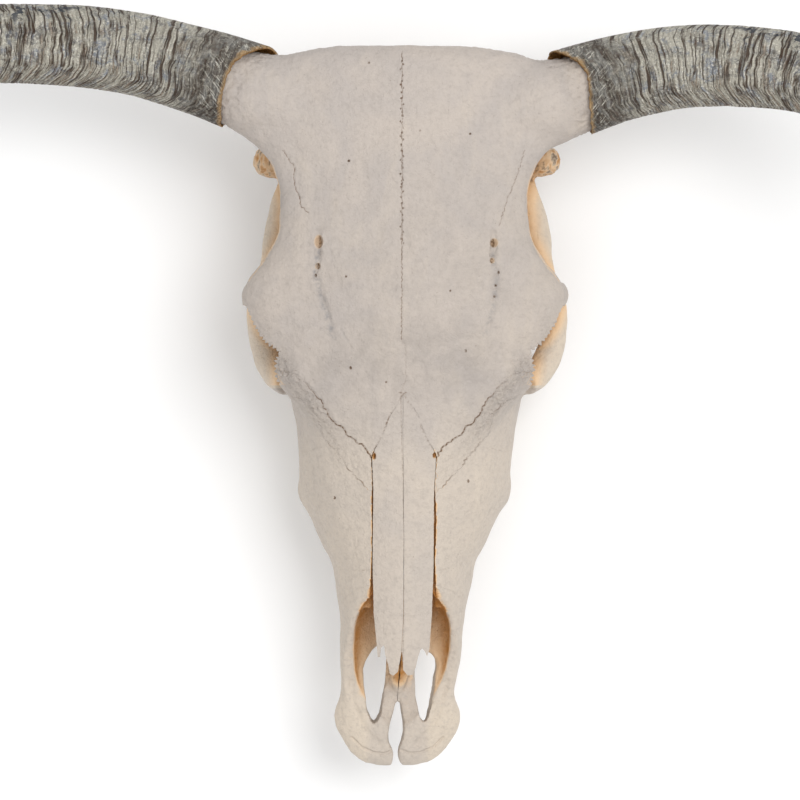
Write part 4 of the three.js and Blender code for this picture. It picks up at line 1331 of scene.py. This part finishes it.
class Shader:
    """A small helper that lays nodes out in a new material."""

    def __init__(self, name: str) -> None:
        """Starts a material with a principled shader."""
        self.material = bpy.data.materials.new(name)
        self.material.use_nodes = True
        self.tree = self.material.node_tree
        self.shader = self.tree.nodes["Principled BSDF"]
        self.coordinates = self.add("ShaderNodeTexCoord").outputs["Object"]

    def add(self, kind: str, **settings: object) -> bpy.types.Node:
        """Adds a node and sets its properties."""
        node = self.tree.nodes.new(kind)
        for name, value in settings.items():
            setattr(node, name, value)
        return node

    def link(self, source: Socket, target: Socket) -> None:
        """Joins an output to an input."""
        self.tree.links.new(source, target)

    def noise(self, scale: float, detail: float = 4, rough: float = 0.55, distortion: float = 0.0,
              stretch: Place = (1, 1, 1), source: Socket | None = None,
              turn: float = 0.0) -> Socket:
        """A noise pattern on the object's own places.

        Args:
            scale: Repeats for each metre.
            detail: Number of octaves.
            rough: Weight of the finer octaves.
            distortion: How far the pattern is warped.
            stretch: Scale of the pattern along each axis.
            source: Coordinates to use in place of the object's.
            turn: Angle about the upright axis, in degrees.

        Returns:
            The pattern's value, from 0 to 1.
        """
        mapping = self.add("ShaderNodeMapping", vector_type="TEXTURE" if turn else "POINT")
        mapping.inputs["Scale"].default_value = [1 / v for v in stretch] if turn else stretch
        mapping.inputs["Rotation"].default_value = (0, 0, math.radians(turn))
        self.link(source or self.coordinates, mapping.inputs["Vector"])
        texture = self.add("ShaderNodeTexNoise")
        texture.inputs["Scale"].default_value = scale
        texture.inputs["Detail"].default_value = detail
        texture.inputs["Roughness"].default_value = rough
        texture.inputs["Distortion"].default_value = distortion
        self.link(mapping.outputs["Vector"], texture.inputs["Vector"])
        return texture.outputs["Fac"]

    def bands(self, spacing: float, distortion: float, source: Socket, wide: float = 0.1) -> Socket:
        """Wavy bands across the third axis of some coordinates.

        Args:
            spacing: Distance between bands.
            distortion: How far the bands wander.
            source: The coordinates.
            wide: Scale of the wandering along the first two axes.

        Returns:
            The bands' value, from 0 to 1.
        """
        mapping = self.add("ShaderNodeMapping")
        mapping.inputs["Scale"].default_value = (wide, wide, 1)
        self.link(source, mapping.inputs["Vector"])
        wave = self.add("ShaderNodeTexWave", wave_type="BANDS", bands_direction="Z")
        wave.inputs["Scale"].default_value = math.pi / 10 / spacing
        wave.inputs["Distortion"].default_value = distortion
        wave.inputs["Detail"].default_value = 3
        wave.inputs["Detail Scale"].default_value = 1.0
        wave.inputs["Detail Roughness"].default_value = 0.6
        self.link(mapping.outputs["Vector"], wave.inputs["Vector"])
        return wave.outputs["Fac"]

    def ramp(self, value: Socket, low: float, high: float, to_low: float = 0.0,
             to_high: float = 1.0) -> Socket:
        """Maps a range of a value to another range, held at its ends."""
        node = self.add("ShaderNodeMapRange", interpolation_type="SMOOTHSTEP")
        for name, number in (("From Min", low), ("From Max", high), ("To Min", to_low), ("To Max", to_high)):
            node.inputs[name].default_value = number
        self.link(value, node.inputs["Value"])
        return node.outputs["Result"]

    def times(self, *factors: Socket | float) -> Socket:
        """The product of sockets or numbers."""
        product = factors[0]
        for factor in factors[1:]:
            product = self.math("MULTIPLY", product, factor)
        return product

    def math(self, operation: str, a: Socket | float, b: Socket | float) -> Socket:
        """One step of arithmetic on two values."""
        node = self.add("ShaderNodeMath", operation=operation)
        for socket, value in zip(node.inputs, (a, b)):
            if isinstance(value, (int, float)):
                socket.default_value = value
            else:
                self.link(value, socket)
        return node.outputs[0]

    def mix(self, share: Socket, first: Socket | Place,
            second: Socket | Place) -> Socket:
        """Mixes two colours by a share."""
        node = self.add("ShaderNodeMix", data_type="RGBA")
        self.link(share, node.inputs["Factor"])
        for socket, value in ((node.inputs[6], first), (node.inputs[7], second)):
            if isinstance(value, tuple):
                socket.default_value = (*value, 1.0)
            else:
                self.link(value, socket)
        return node.outputs[2]

    def attribute(self, name: str) -> bpy.types.Node:
        """Reads one of the mesh's own attributes."""
        return self.add("ShaderNodeAttribute", attribute_name=name)

    def bump(self, heights: Sequence[tuple[Socket, float]]) -> None:
        """Puts layers of fine height, each with its distance in metres, on the surface."""
        before = None
        for height, distance in heights:
            node = self.add("ShaderNodeBump")
            node.inputs["Strength"].default_value = 1.0
            node.inputs["Distance"].default_value = distance
            self.link(height, node.inputs["Height"])
            if before is not None:
                self.link(before, node.inputs["Normal"])
            before = node.outputs["Normal"]
        if before is not None:
            self.link(before, self.shader.inputs["Normal"])


@dataclass(frozen=True)
class BoneFinish:
    """Dry bleached bone, with painted amber shade and painted glow in its hollows, painted brown shade in its pits and
    brown in its sutures.
    """

    name: str = "bone"
    pale: Place = (0.508, 0.447, 0.396)
    cool: Place = (0.452, 0.405, 0.372)
    # cream: pale streaks, and the warm mark, which on the cheek arches is painted light
    cream: Place = (0.650, 0.560, 0.455)
    # tan and amber: painted glow and painted shade in the eye sockets, the nose and the slits beside the nasal bones
    tan: Place = (0.76, 0.545, 0.345)
    amber: Place = (0.47, 0.205, 0.045)
    # pit: dark brown of pores and sutures, and of the painted shade inside the small openings
    pit: Place = (0.125, 0.065, 0.028)
    grey: Place = (0.255, 0.245, 0.245)
    # dull: colour of the painted shade between the eyes, and of the freckles
    dull: Place = (0.330, 0.292, 0.262)

    def make(self) -> bpy.types.Material:
        """Builds the bone's material."""
        s = Shader(self.name)
        blotch = s.ramp(s.noise(15, 6, 0.6, 0.6), 0.36, 0.64)
        colour = s.mix(blotch, self.pale, self.cool)
        streak = s.ramp(s.noise(34, 5, 0.6, 0.5, (1.0, 0.3, 1.0)), 0.50, 0.72)
        colour = s.mix(s.times(streak, 0.28), colour, self.cream)
        tone, mark = s.add("ShaderNodeSeparateColor"), s.add("ShaderNodeSeparateColor")
        s.link(s.attribute("tone").outputs["Color"], tone.inputs["Color"])
        s.link(s.attribute("mark").outputs["Color"], mark.inputs["Color"])
        hollow, warm, seam = (tone.outputs[name] for name in ("Red", "Green", "Blue"))
        rough, grey, dull = (mark.outputs[name] for name in ("Red", "Green", "Blue"))
        # cream from the warm mark: below and towards the muzzle, and painted light on the cheek arches
        colour = s.mix(warm, colour, self.cream)
        # painted shade: the forehead darkened between the eyes by the dull mark, broken up by noise
        shade_mottle = s.ramp(s.noise(52, 7, 0.68, 0.8), 0.34, 0.70, 0.25, 1.0)
        colour = s.mix(s.times(dull, shade_mottle), colour, self.dull)
        freckle = s.ramp(s.noise(260, 5, 0.7), 0.44, 0.70, 0.0, 0.30)
        colour = s.mix(freckle, colour, self.dull)
        # painted glow and painted shade: tan, then amber where the hollow mark is strong
        colour = s.mix(s.ramp(hollow, 0.0, 0.5), colour, self.tan)
        mottled = s.ramp(s.noise(110, 5, 0.65), 0.25, 0.6, 0.55, 1.0)
        colour = s.mix(s.times(s.ramp(hollow, 0.4, 1.0), mottled), colour, self.amber)
        shallow = s.ramp(s.noise(240, 4, 0.6), 0.35, 0.65)
        colour = s.mix(s.times(grey, shallow, 0.75), colour, self.grey)
        dots = s.ramp(s.noise(620, 2, 0.5), 0.69, 0.74)
        patches = s.ramp(s.noise(40, 3, 0.5), 0.50, 0.64)
        colour = s.mix(s.times(dots, patches, 0.4), colour, self.pit)
        pores = s.ramp(s.noise(470, 3, 0.55), 0.56, 0.68)
        colour = s.mix(s.times(pores, rough, 0.55), colour, self.pit)
        # brown in sutures, furrows, ear knobs and on the ploughshare bone, and painted shade inside the small openings
        broken = s.ramp(s.noise(520, 3, 0.6), 0.34, 0.6, 0.25, 1.0)
        colour = s.mix(s.times(s.ramp(seam, 0.15, 0.85), broken), colour, self.pit)
        s.link(colour, s.shader.inputs["Base Color"])
        s.link(s.ramp(s.noise(220, 3, 0.5), 0.3, 0.7, 0.5, 0.66), s.shader.inputs["Roughness"])
        s.shader.inputs["Specular IOR Level"].default_value = 0.3
        s.bump([(s.noise(80, 5, 0.6), 0.0022), (s.noise(430, 4, 0.62), 0.0008),
                (s.noise(240, 4, 0.6, 0.5, (1.0, 0.2, 1.0)), 0.0005),
                (s.times(s.noise(620, 4, 0.7), rough), 0.0024)])
        return s.material


@dataclass(frozen=True)
class ToothFinish:
    """Ivory enamel with patchy brown stain."""

    name: str = "tooth"
    ivory: Place = (0.68, 0.58, 0.43)
    stain: Place = (0.25, 0.14, 0.06)

    def make(self) -> bpy.types.Material:
        """Builds the teeth's material."""
        s = Shader(self.name)
        share = s.ramp(s.noise(130, 4, 0.6, 0.5, (1, 1, 0.35)), 0.48, 0.72, 0.05, 0.75)
        s.link(s.mix(share, self.ivory, self.stain), s.shader.inputs["Base Color"])
        s.shader.inputs["Roughness"].default_value = 0.38
        s.bump([(s.noise(420, 4, 0.6, 0.3, (1, 1, 0.3)), 0.0005)])
        return s.material


@dataclass(frozen=True)
class HornFinish:
    """Weathered horn: pale grey flakes crossed by brown cracks, dark at the mouth and the tip."""

    name: str = "horn"
    pale: Place = (0.52, 0.49, 0.41)
    light: Place = (0.80, 0.77, 0.68)
    grey: Place = (0.22, 0.212, 0.195)
    blue: Place = (0.26, 0.29, 0.34)
    ink: Place = (0.030, 0.040, 0.060)
    crack: Place = (0.060, 0.032, 0.017)
    brown: Place = (0.215, 0.118, 0.058)
    dark: Place = (0.075, 0.056, 0.043)
    tan: Place = (0.50, 0.32, 0.15)
    amber: Place = (0.36, 0.17, 0.04)

    def make(self) -> bpy.types.Material:
        """Builds the horn's material."""
        s = Shader(self.name)
        chart = s.attribute("chart").outputs["Vector"]
        face, place = s.add("ShaderNodeSeparateXYZ"), s.add("ShaderNodeSeparateXYZ")
        s.link(chart, face.inputs["Vector"])
        s.link(s.attribute("place").outputs["Vector"], place.inputs["Vector"])
        ahead, along, edge, inside = face.outputs["X"], place.outputs["X"], place.outputs["Y"], place.outputs["Z"]
        # flakes of several greys
        colour = s.mix(s.ramp(s.noise(2.4, 6, 0.7, 0.4, (1, 1, 2.6), chart), 0.50, 0.66), self.pale, self.grey)
        colour = s.mix(s.ramp(s.noise(3.4, 5, 0.7, 0.5, (1, 1, 4.0), chart), 0.50, 0.64, 0.0, 0.8), colour, self.blue)
        colour = s.mix(s.ramp(s.noise(640, 4, 0.65), 0.50, 0.64, 0.0, 0.75), colour, self.light)
        colour = s.mix(s.ramp(s.noise(760, 4, 0.7), 0.54, 0.66, 0.0, 0.75), colour, self.grey)
        # brown where the cracks are dense, which is mostly on the muzzle's side
        leaning = s.times(ahead, 0.14)
        dense = s.ramp(s.math("ADD", s.noise(2.0, 4, 0.65, 0.3, (1, 1, 3.2), chart), leaning), 0.40, 0.58)
        stain = s.ramp(s.noise(2.2, 5, 0.66, 0.1, (0.6, 0.6, 18.0), chart), 0.48, 0.62)
        colour = s.mix(s.times(stain, dense, 0.5), colour, self.brown)
        # cracks: fine wavy ones, and a few long and deep ones
        waves = s.bands(0.026, 2.0, chart, 0.16)
        gaps = s.ramp(s.noise(3.2, 3, 0.6, 0.2, (0.8, 0.8, 9), chart), 0.40, 0.54)
        worn = s.ramp(s.noise(300, 4, 0.7), 0.38, 0.58, 0.25, 1.0)
        fine = s.times(s.ramp(waves, 0.76, 0.97), s.math("MAXIMUM", s.times(dense, gaps), 0.22))
        fine = s.times(fine, worn)
        rings = s.noise(1.0, 3, 0.5, 0.1, (0.16, 0.16, 12.0), chart)
        level = s.math("ABSOLUTE", s.math("SUBTRACT", rings, 0.5), 0.0)
        long = s.math("SUBTRACT", 1.0, s.ramp(level, 0.006, 0.034))
        long = s.times(long, s.ramp(s.noise(1.9, 3, 0.6, 0.3, (1, 1, 5), chart), 0.36, 0.50))
        cracked = s.math("MAXIMUM", fine, long)
        colour = s.mix(s.times(cracked, 0.93), colour, self.crack)
        # ink-blue patches far out on the poll's side
        upper = s.times(s.ramp(ahead, -0.75, -0.1, 1.0, 0.0), s.ramp(along, 1.25, 1.7))
        inky = s.times(s.ramp(s.noise(3.1, 5, 0.68, 0.6, (1, 1, 3), chart), 0.53, 0.60), upper)
        colour = s.mix(s.times(inky, 0.9), colour, self.ink)
        # the dark first part with its slanting fibres
        spread = s.noise(4.2, 5, 0.7, 0.4, (1.4, 1.4, 4), chart)
        reach = s.math("SUBTRACT", edge, s.times(s.math("SUBTRACT", spread, 0.5), 5.5))
        root = s.ramp(reach, 1.6, 4.6, 1.0, 0.0)
        parts = s.add("ShaderNodeSeparateXYZ")
        s.link(s.coordinates, parts.inputs["Vector"])
        mirrored = s.add("ShaderNodeCombineXYZ")
        s.link(s.math("ABSOLUTE", parts.outputs["X"], 0.0), mirrored.inputs["X"])
        s.link(parts.outputs["Y"], mirrored.inputs["Y"])
        s.link(parts.outputs["Z"], mirrored.inputs["Z"])
        fibres = s.noise(900, 4, 0.6, 0.2, (1.0, 0.08, 0.3), mirrored.outputs["Vector"], turn=-38)
        bars = s.ramp(s.noise(2.6, 4, 0.6, 0.1, (0.6, 0.6, 11.0), chart), 0.42, 0.60)
        rooted = s.mix(bars, self.dark, self.grey)
        rooted = s.mix(s.ramp(s.noise(420, 4, 0.66), 0.50, 0.66, 0.0, 0.7), rooted, self.pale)
        rooted = s.mix(s.ramp(s.noise(160, 4, 0.6), 0.5, 0.66, 0.0, 0.8), rooted, self.crack)
        near_mouth = s.ramp(edge, 0.9, 2.2, 1.0, 0.0)
        rooted = s.mix(s.times(s.ramp(fibres, 0.56, 0.66), near_mouth), rooted, self.light)
        colour = s.mix(s.times(root, 0.86), colour, rooted)
        # the worn rim and the inner side
        rim = s.ramp(s.math("ADD", edge, s.times(s.noise(260, 3, 0.6), 0.5)), 0.28, 0.62, 1.0, 0.0)
        colour = s.mix(s.times(rim, 0.85), colour, self.tan)
        colour = s.mix(s.ramp(along, 3.7, 4.8, 0.0, 0.9), colour, (0.035, 0.03, 0.028))
        colour = s.mix(inside, colour, self.amber)
        s.link(colour, s.shader.inputs["Base Color"])
        s.link(s.ramp(along, 3.4, 4.7, 0.66, 0.34), s.shader.inputs["Roughness"])
        s.shader.inputs["Specular IOR Level"].default_value = 0.3
        s.bump([(waves, 0.0009), (stain, -0.0008), (s.math("SUBTRACT", 1.0, cracked), 0.0016),
                (s.noise(700, 4, 0.68), 0.0014), (fibres, 0.0005)])
        return s.material


@dataclass(frozen=True)
class FloorFinish:
    """A pale studio floor."""

    name: str = "floor"

    def make(self) -> bpy.types.Material:
        """Builds the floor's material."""
        s = Shader(self.name)
        shade = s.ramp(s.noise(3, 2, 0.5), 0.3, 0.7)
        s.link(s.mix(shade, (0.955, 0.955, 0.955), (0.97, 0.97, 0.97)), s.shader.inputs["Base Color"])
        s.shader.inputs["Roughness"].default_value = 0.9
        return s.material


class Tones:
    """Where a bone is hollow, warm, seamed, rough, grey or dull, as its finish reads it: hollow is mostly painted shade
    and glow, dull is painted shade, warm is painted light on the cheek arches, and seamed is painted shade in the
    openings.
    """

    def __init__(self, piece: Piece) -> None:
        """Reads the bone's places and directions."""
        self.piece = piece
        self.skull = measured(Bench.points(piece))
        self.x, self.u, self.z = self.skull.T
        self.side, self.plane = np.abs(self.x), self.skull[:, :2]
        self.normal = Bench.normals(piece)
        self.up = self.normal[:, 2]
        self.upper = np.clip((self.up - 0.1) * 3, 0, 1) * (self.z > 78)
        self.past_edge = self.side - np.interp(self.u, EDGE_U, EDGE_X)
        self.ear = (self.side > 86) & within(self.u, 58, 90) & within(self.z, 54, 92)
        self.striped = np.clip(0.5 + 1.2 * grain(self.skull * (1, 0.3, 1), 2.6, 44), 0.15, 1)
        self.patchy = np.clip(0.55 + 1.1 * grain(self.skull, 9.0, 31), 0.12, 1)

    def orbits(self) -> np.ndarray:
        """Painted amber shade in the sockets and the windows behind them, strongest just under their rims."""
        low = within(self.z, 58, 120) & within(self.u, 74, 238) & (self.side > 46) & (self.up > -0.7)
        socket = np.interp(self.past_edge, (-24, -10, -5, 2, 7, 12), (0.25, 0.4, 0.82, 0.58, 0.26, 0.06)) * low
        wall = (self.side > 44) & (self.past_edge < -1) & within(self.u, 74, 238) & within(self.z, 60, 152)
        steep = (self.up < 0.45) * np.interp(self.up, (0, 0.45), (0.3, 0.15))
        return np.maximum(socket, wall * steep * np.interp(self.past_edge, (-14, -4), (0.6, 1.4)))

    def nose(self) -> np.ndarray:
        """Painted amber shade and glow under the brim of the nose's opening, paler towards its floor."""
        air = np.asarray(Face().cavity)
        wide, floor, brim = (np.interp(self.u, air[:, 0], air[:, k]) for k in (1, 3, 4))
        depth = np.clip((brim - self.z) / np.maximum(1.0, brim - floor), 0, 1)
        fade = 1.1 - depth * np.interp(self.u, (384, 404, 430, 462), (0.1, 0.7, 1.1, 2.2))
        near = np.clip((wide + 0.9 - self.side) / 1.6, 0, 1) * within(self.u, 284, 476)
        near = near * (self.z > floor - 2) * (self.z < brim + 1.5)
        return near * np.clip(fade, 0, 1) * np.interp(self.u, (452, 474), (1.0, 0.0))

    def slits(self) -> np.ndarray:
        """Painted amber shade in the slits beside the nasal bones and under these bones' edges."""
        root_x, root_u = np.asarray(NASAL_ROOT).T
        reach = np.zeros(len(self.x))
        for side in Side:
            outer = np.interp(self.u, root_u, root_x + np.asarray(NASAL_GAPS[side]))
            reach = np.where(self.x * side.value > 0, outer, reach)
        skin = np.interp(self.u, (284, 330, 376, 400), (154.5, 147.6, 142.4, 138.8))
        floor = within(self.side, 19, reach + 0.35) & within(self.u, 285, 402) & within(self.z, 118, skin)
        inward = np.clip(-self.normal[:, 0] * np.sign(self.x) * 2.0 + 0.1, 0, 1)
        wall = within(self.side, 18, 31) & within(self.u, 284, 412) & within(self.z, 112, 158)
        under = 0.0
        if self.piece.name.startswith("nasal"):
            under = np.clip(-self.up * 1.5, 0, 1) * 0.8 * (self.u > 285)
        return np.maximum.reduce([wall * inward, floor * 0.95, under + 0 * self.x])

    def ploughshare(self) -> np.ndarray:
        """Tan on the ploughshare bone on the nose's floor."""
        place = (self.side < 10) & within(self.u, 395, 466) & (self.z < 118)
        return place * np.interp(self.u, (448, 462), (0.34, 0.0))

    def hollow(self) -> np.ndarray:
        """How much painted amber shade and glow each place has, with the ear knobs' own amber stripes and the tan on
        the ploughshare bone.
        """
        ears = self.ear * 0.9 * self.striped
        share = np.maximum.reduce([self.orbits(), self.nose(), self.slits(), self.ploughshare(), ears])
        share = np.clip(share, 0, 1)
        # painted amber shade inside the deeper openings
        for pit in PITS:
            if pit.depth > DEEP_PIT:
                share = np.maximum(share, np.clip(pit.inner(self.x, self.u) * 4, 0, 1) * 0.3 * self.upper)
        return share

    def warm(self) -> np.ndarray:
        """How cream the bone is: below and towards the muzzle, and on the cheek arches as painted light that brightens
        them where they lie in shade.
        """
        below = np.clip(-self.up, 0, 1) * 0.35 + np.clip((118 - self.z) / 60, 0, 1) * 0.5 * (self.u < 250)
        front = np.interp(self.u, (236, 290, 440, 480), (0.0, 0.48, 0.56, 0.92))
        front = front * np.interp(self.side, (19, 24), (0.5, 1.0))
        # painted light: cream on the cheek arches to brighten them where they lie in shade
        arch = (self.past_edge > -8) * within(self.z, 58, 104) * within(self.u, 60, 240) * 0.9
        return np.clip(np.maximum.reduce([below, front, arch]), 0, 1)

    def furrows(self) -> tuple[np.ndarray, np.ndarray]:
        """How stained and how grey the furrows are."""
        seam, grey = np.zeros(len(self.x)), np.zeros(len(self.x))
        for groove in GROOVES:
            gap = distance_to([groove.path()], self.plane, groove.width)
            if groove.stain:
                core = min(groove.width, 1.7) * 0.5
                seam = np.maximum(seam, np.clip(1.15 - gap / core, 0, 1) * groove.stain * self.upper)
            if groove.grey:
                core = groove.width * 0.5
                grey = np.maximum(grey, np.clip(1.2 - gap / core, 0, 1) * groove.grey * self.upper)
        return seam, grey

    def sutures(self) -> np.ndarray:
        """How dark the sutures around the tear bones and behind the nasal bones are."""
        cut = next(cut for cut in CUTS if cut.node == "lacrimal")
        lines = [[(a * side.value, b) for a, b in cut.lines(side)[0]] for side in Side]
        gap = distance_to(lines, self.plane, 3.0)
        upper_line = self.side + self.u < np.interp(self.u, (226, 250, 290, 315), (330, 312.5, 317.5, 338))
        along = np.interp(self.side, (22, 30, 58, 72), (1.0, 0.95, 0.8, 0.35))
        strength = np.where(upper_line, along, 0.62 * self.patchy)
        strength = strength * np.where((self.side < 27) & (self.u > 290), 0.2, 1.0)
        tear = np.clip(1.15 - gap / 0.85, 0, 1) * strength * self.upper * (self.z > 104)
        roots = [[(a * side.value, b) for a, b in NASAL_ROOT[:7]] for side in Side]
        gap = distance_to(roots, self.plane, 3.0)
        dotted = 0.72 * np.clip(self.patchy + 0.3, 0, 1)
        return np.maximum(tear, np.clip(1.15 - gap / 0.8, 0, 1) * dotted * self.upper * (self.z > 140))

    def stains(self, furrows: np.ndarray) -> np.ndarray:
        """How brown each place is, with the pits, the ears and the ploughshare bone; the brown in the pits is painted
        shade.
        """
        seam = np.maximum(furrows, self.sutures())
        for pit in PITS:
            # painted shade inside the openings, only on the side towards the midline in the deep ones
            inner = pit.inner(self.x, self.u)
            if pit.depth > DEEP_PIT:
                inner = inner * np.clip((abs(pit.x) + 0.5 - self.side) / 1.2, 0, 1)
            seam = np.maximum(seam, np.clip(inner * 3.4, 0, 1) * 0.72 * self.upper)
        knob = self.ear * np.clip(1.2 - 2 * self.striped, 0, 1) * 0.7
        mottle = np.clip(0.4 + 1.3 * grain(self.skull, 2.2, 45), 0, 1)
        share = (self.ploughshare() > 0) * np.interp(self.u, (446, 462), (0.62, 0.0)) * mottle
        return np.maximum.reduce([seam, knob, share])

    def dull(self) -> np.ndarray:
        """How much painted shade darkens the forehead between the eyes, and faintly across the forehead nearer the
        poll.
        """
        across = np.interp(self.side, (0, 40, 66, 84), (0.85, 0.8, 0.55, 0.25))
        dull = 0.8 * np.exp(-((self.u - 216) / 34) ** 2) * across
        return np.maximum(dull, 0.3 * np.exp(-((self.u - 150) / 60) ** 2)) * (self.z > 100)

    def write(self) -> None:
        """Writes the tones to the bone's own attributes."""
        rough = rough_share(self.skull) * np.where((self.u < 80) & (self.side > 60), 0.25, 0.5)
        furrows, grey = self.furrows()
        # tone holds painted shade and glow, warmth with painted light on the arches, and stains with painted shade in
        # the openings; mark holds roughness, grey and the painted shade between the eyes
        rows = {"tone": (self.hollow(), self.warm(), self.stains(furrows)), "mark": (rough, grey, self.dull())}
        for name, columns in rows.items():
            colours = np.stack([*columns, np.ones(len(self.x))], axis=1)
            store = self.piece.data.color_attributes.new(name, "FLOAT_COLOR", "POINT")
            store.data.foreach_set("color", colours.astype(np.float32).ravel())


@dataclass
class Dresser:
    """Gives the finished pieces their finishes and places in the frame."""

    bone: bpy.types.Material = field(default_factory=lambda: BoneFinish().make())
    tooth: bpy.types.Material = field(default_factory=lambda: ToothFinish().make())
    horn: bpy.types.Material = field(default_factory=lambda: HornFinish().make())

    def finish(self, piece: Piece, material: bpy.types.Material, slot: str, *nodes: str) -> None:
        """Puts a finish on a piece and ties it to the frame.

        Args:
            piece: The finished mesh.
            material: Its finish.
            slot: The name of a material slot; not used.
            *nodes: The solids that it stands for.
        """
        piece.data.materials.clear()
        piece.data.materials.append(material)
        Bench.only(piece)
        bpy.ops.object.shade_smooth_by_angle(angle=math.radians(42))
        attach(piece, "root")
        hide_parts(*nodes)
        log.info("finished %s: %d faces", piece.name, len(piece.data.polygons))


# ------------------------------------------------------------------ studio


@dataclass
class Studio:
    """The floor, the lights and the camera straight above the forehead."""

    view_u: float = 248.5
    view_x: float = -2.1
    distance: float = 2200.0
    frame_width: float = 560.0
    sky: float = 0.74
    sensor: float = 36.0

    def build(self) -> None:
        """Sets the whole studio up."""
        bpy.ops.mesh.primitive_plane_add(size=8, location=(0, 0, 0))
        floor = bpy.context.active_object
        floor.name = "studio_floor"
        floor.data.materials.append(FloorFinish().make())
        self.light("key", (0.85, 0.45, 2.35), size=1.2, power=29)
        self.light("fill", (-0.75, -0.7, 2.4), size=2.2, power=9)
        world = bpy.data.worlds.new("studio")
        world.use_nodes = True
        background = world.node_tree.nodes["Background"]
        background.inputs["Color"].default_value = (1.0, 1.0, 1.0, 1.0)
        background.inputs["Strength"].default_value = self.sky
        bpy.context.scene.world = world
        bpy.context.scene.view_settings.view_transform = "Standard"
        self.camera()

    @staticmethod
    def light(name: str, place: Place, size: float, power: float) -> None:
        """Adds a soft square light that looks at the skull."""
        bpy.ops.object.light_add(type="AREA", location=place)
        lamp = bpy.context.active_object
        lamp.name = name
        lamp.data.size = size
        lamp.data.energy = power
        aim = Vector((0, 0, 0.1)) - Vector(place)
        lamp.rotation_euler = aim.to_track_quat("-Z", "Y").to_euler()

    def camera(self) -> None:
        """Adds the camera."""
        x = (self.view_x + FOOTPRINT[0]) * MM
        y = (FOOTPRINT[1] - self.view_u) * MM
        bpy.ops.object.camera_add(location=(x, y, (FOREHEAD + self.distance) * MM), rotation=(0, 0, 0))
        camera = bpy.context.active_object
        camera.name = "view_from_above"
        camera.data.sensor_width = self.sensor
        camera.data.lens = self.sensor * self.distance / self.frame_width
        camera.data.clip_end = 50
        bpy.context.scene.camera = camera


def main() -> None:
    """Builds the studio, the skull, the teeth and the horns, and ties them to the frame."""
    logging.basicConfig(level=logging.INFO, format="%(name)s: %(message)s")
    bpy.ops.object.select_all(action="DESELECT")
    Studio().build()
    dresser = Dresser()
    slots = {cut.node: cut.slot for cut in CUTS}
    for name, bone in Skull().build().items():
        Tones(bone).write()
        slot = slots.get(name.rsplit("_", 1)[0], slots.get(name, "bone"))
        slot = "bone_shaded" if name == "braincase" else slot
        dresser.finish(bone, dresser.bone, slot, name)
    for side in Side:
        dresser.finish(ToothRow(side).build(), dresser.tooth, "bone", f"maxilla_{side.label}")
        horn = HornSheath(side, *HORNS[side]).build()
        dresser.finish(horn, dresser.horn, "horn", f"horn_{side.label}")


if __name__ == "__main__":
    main()
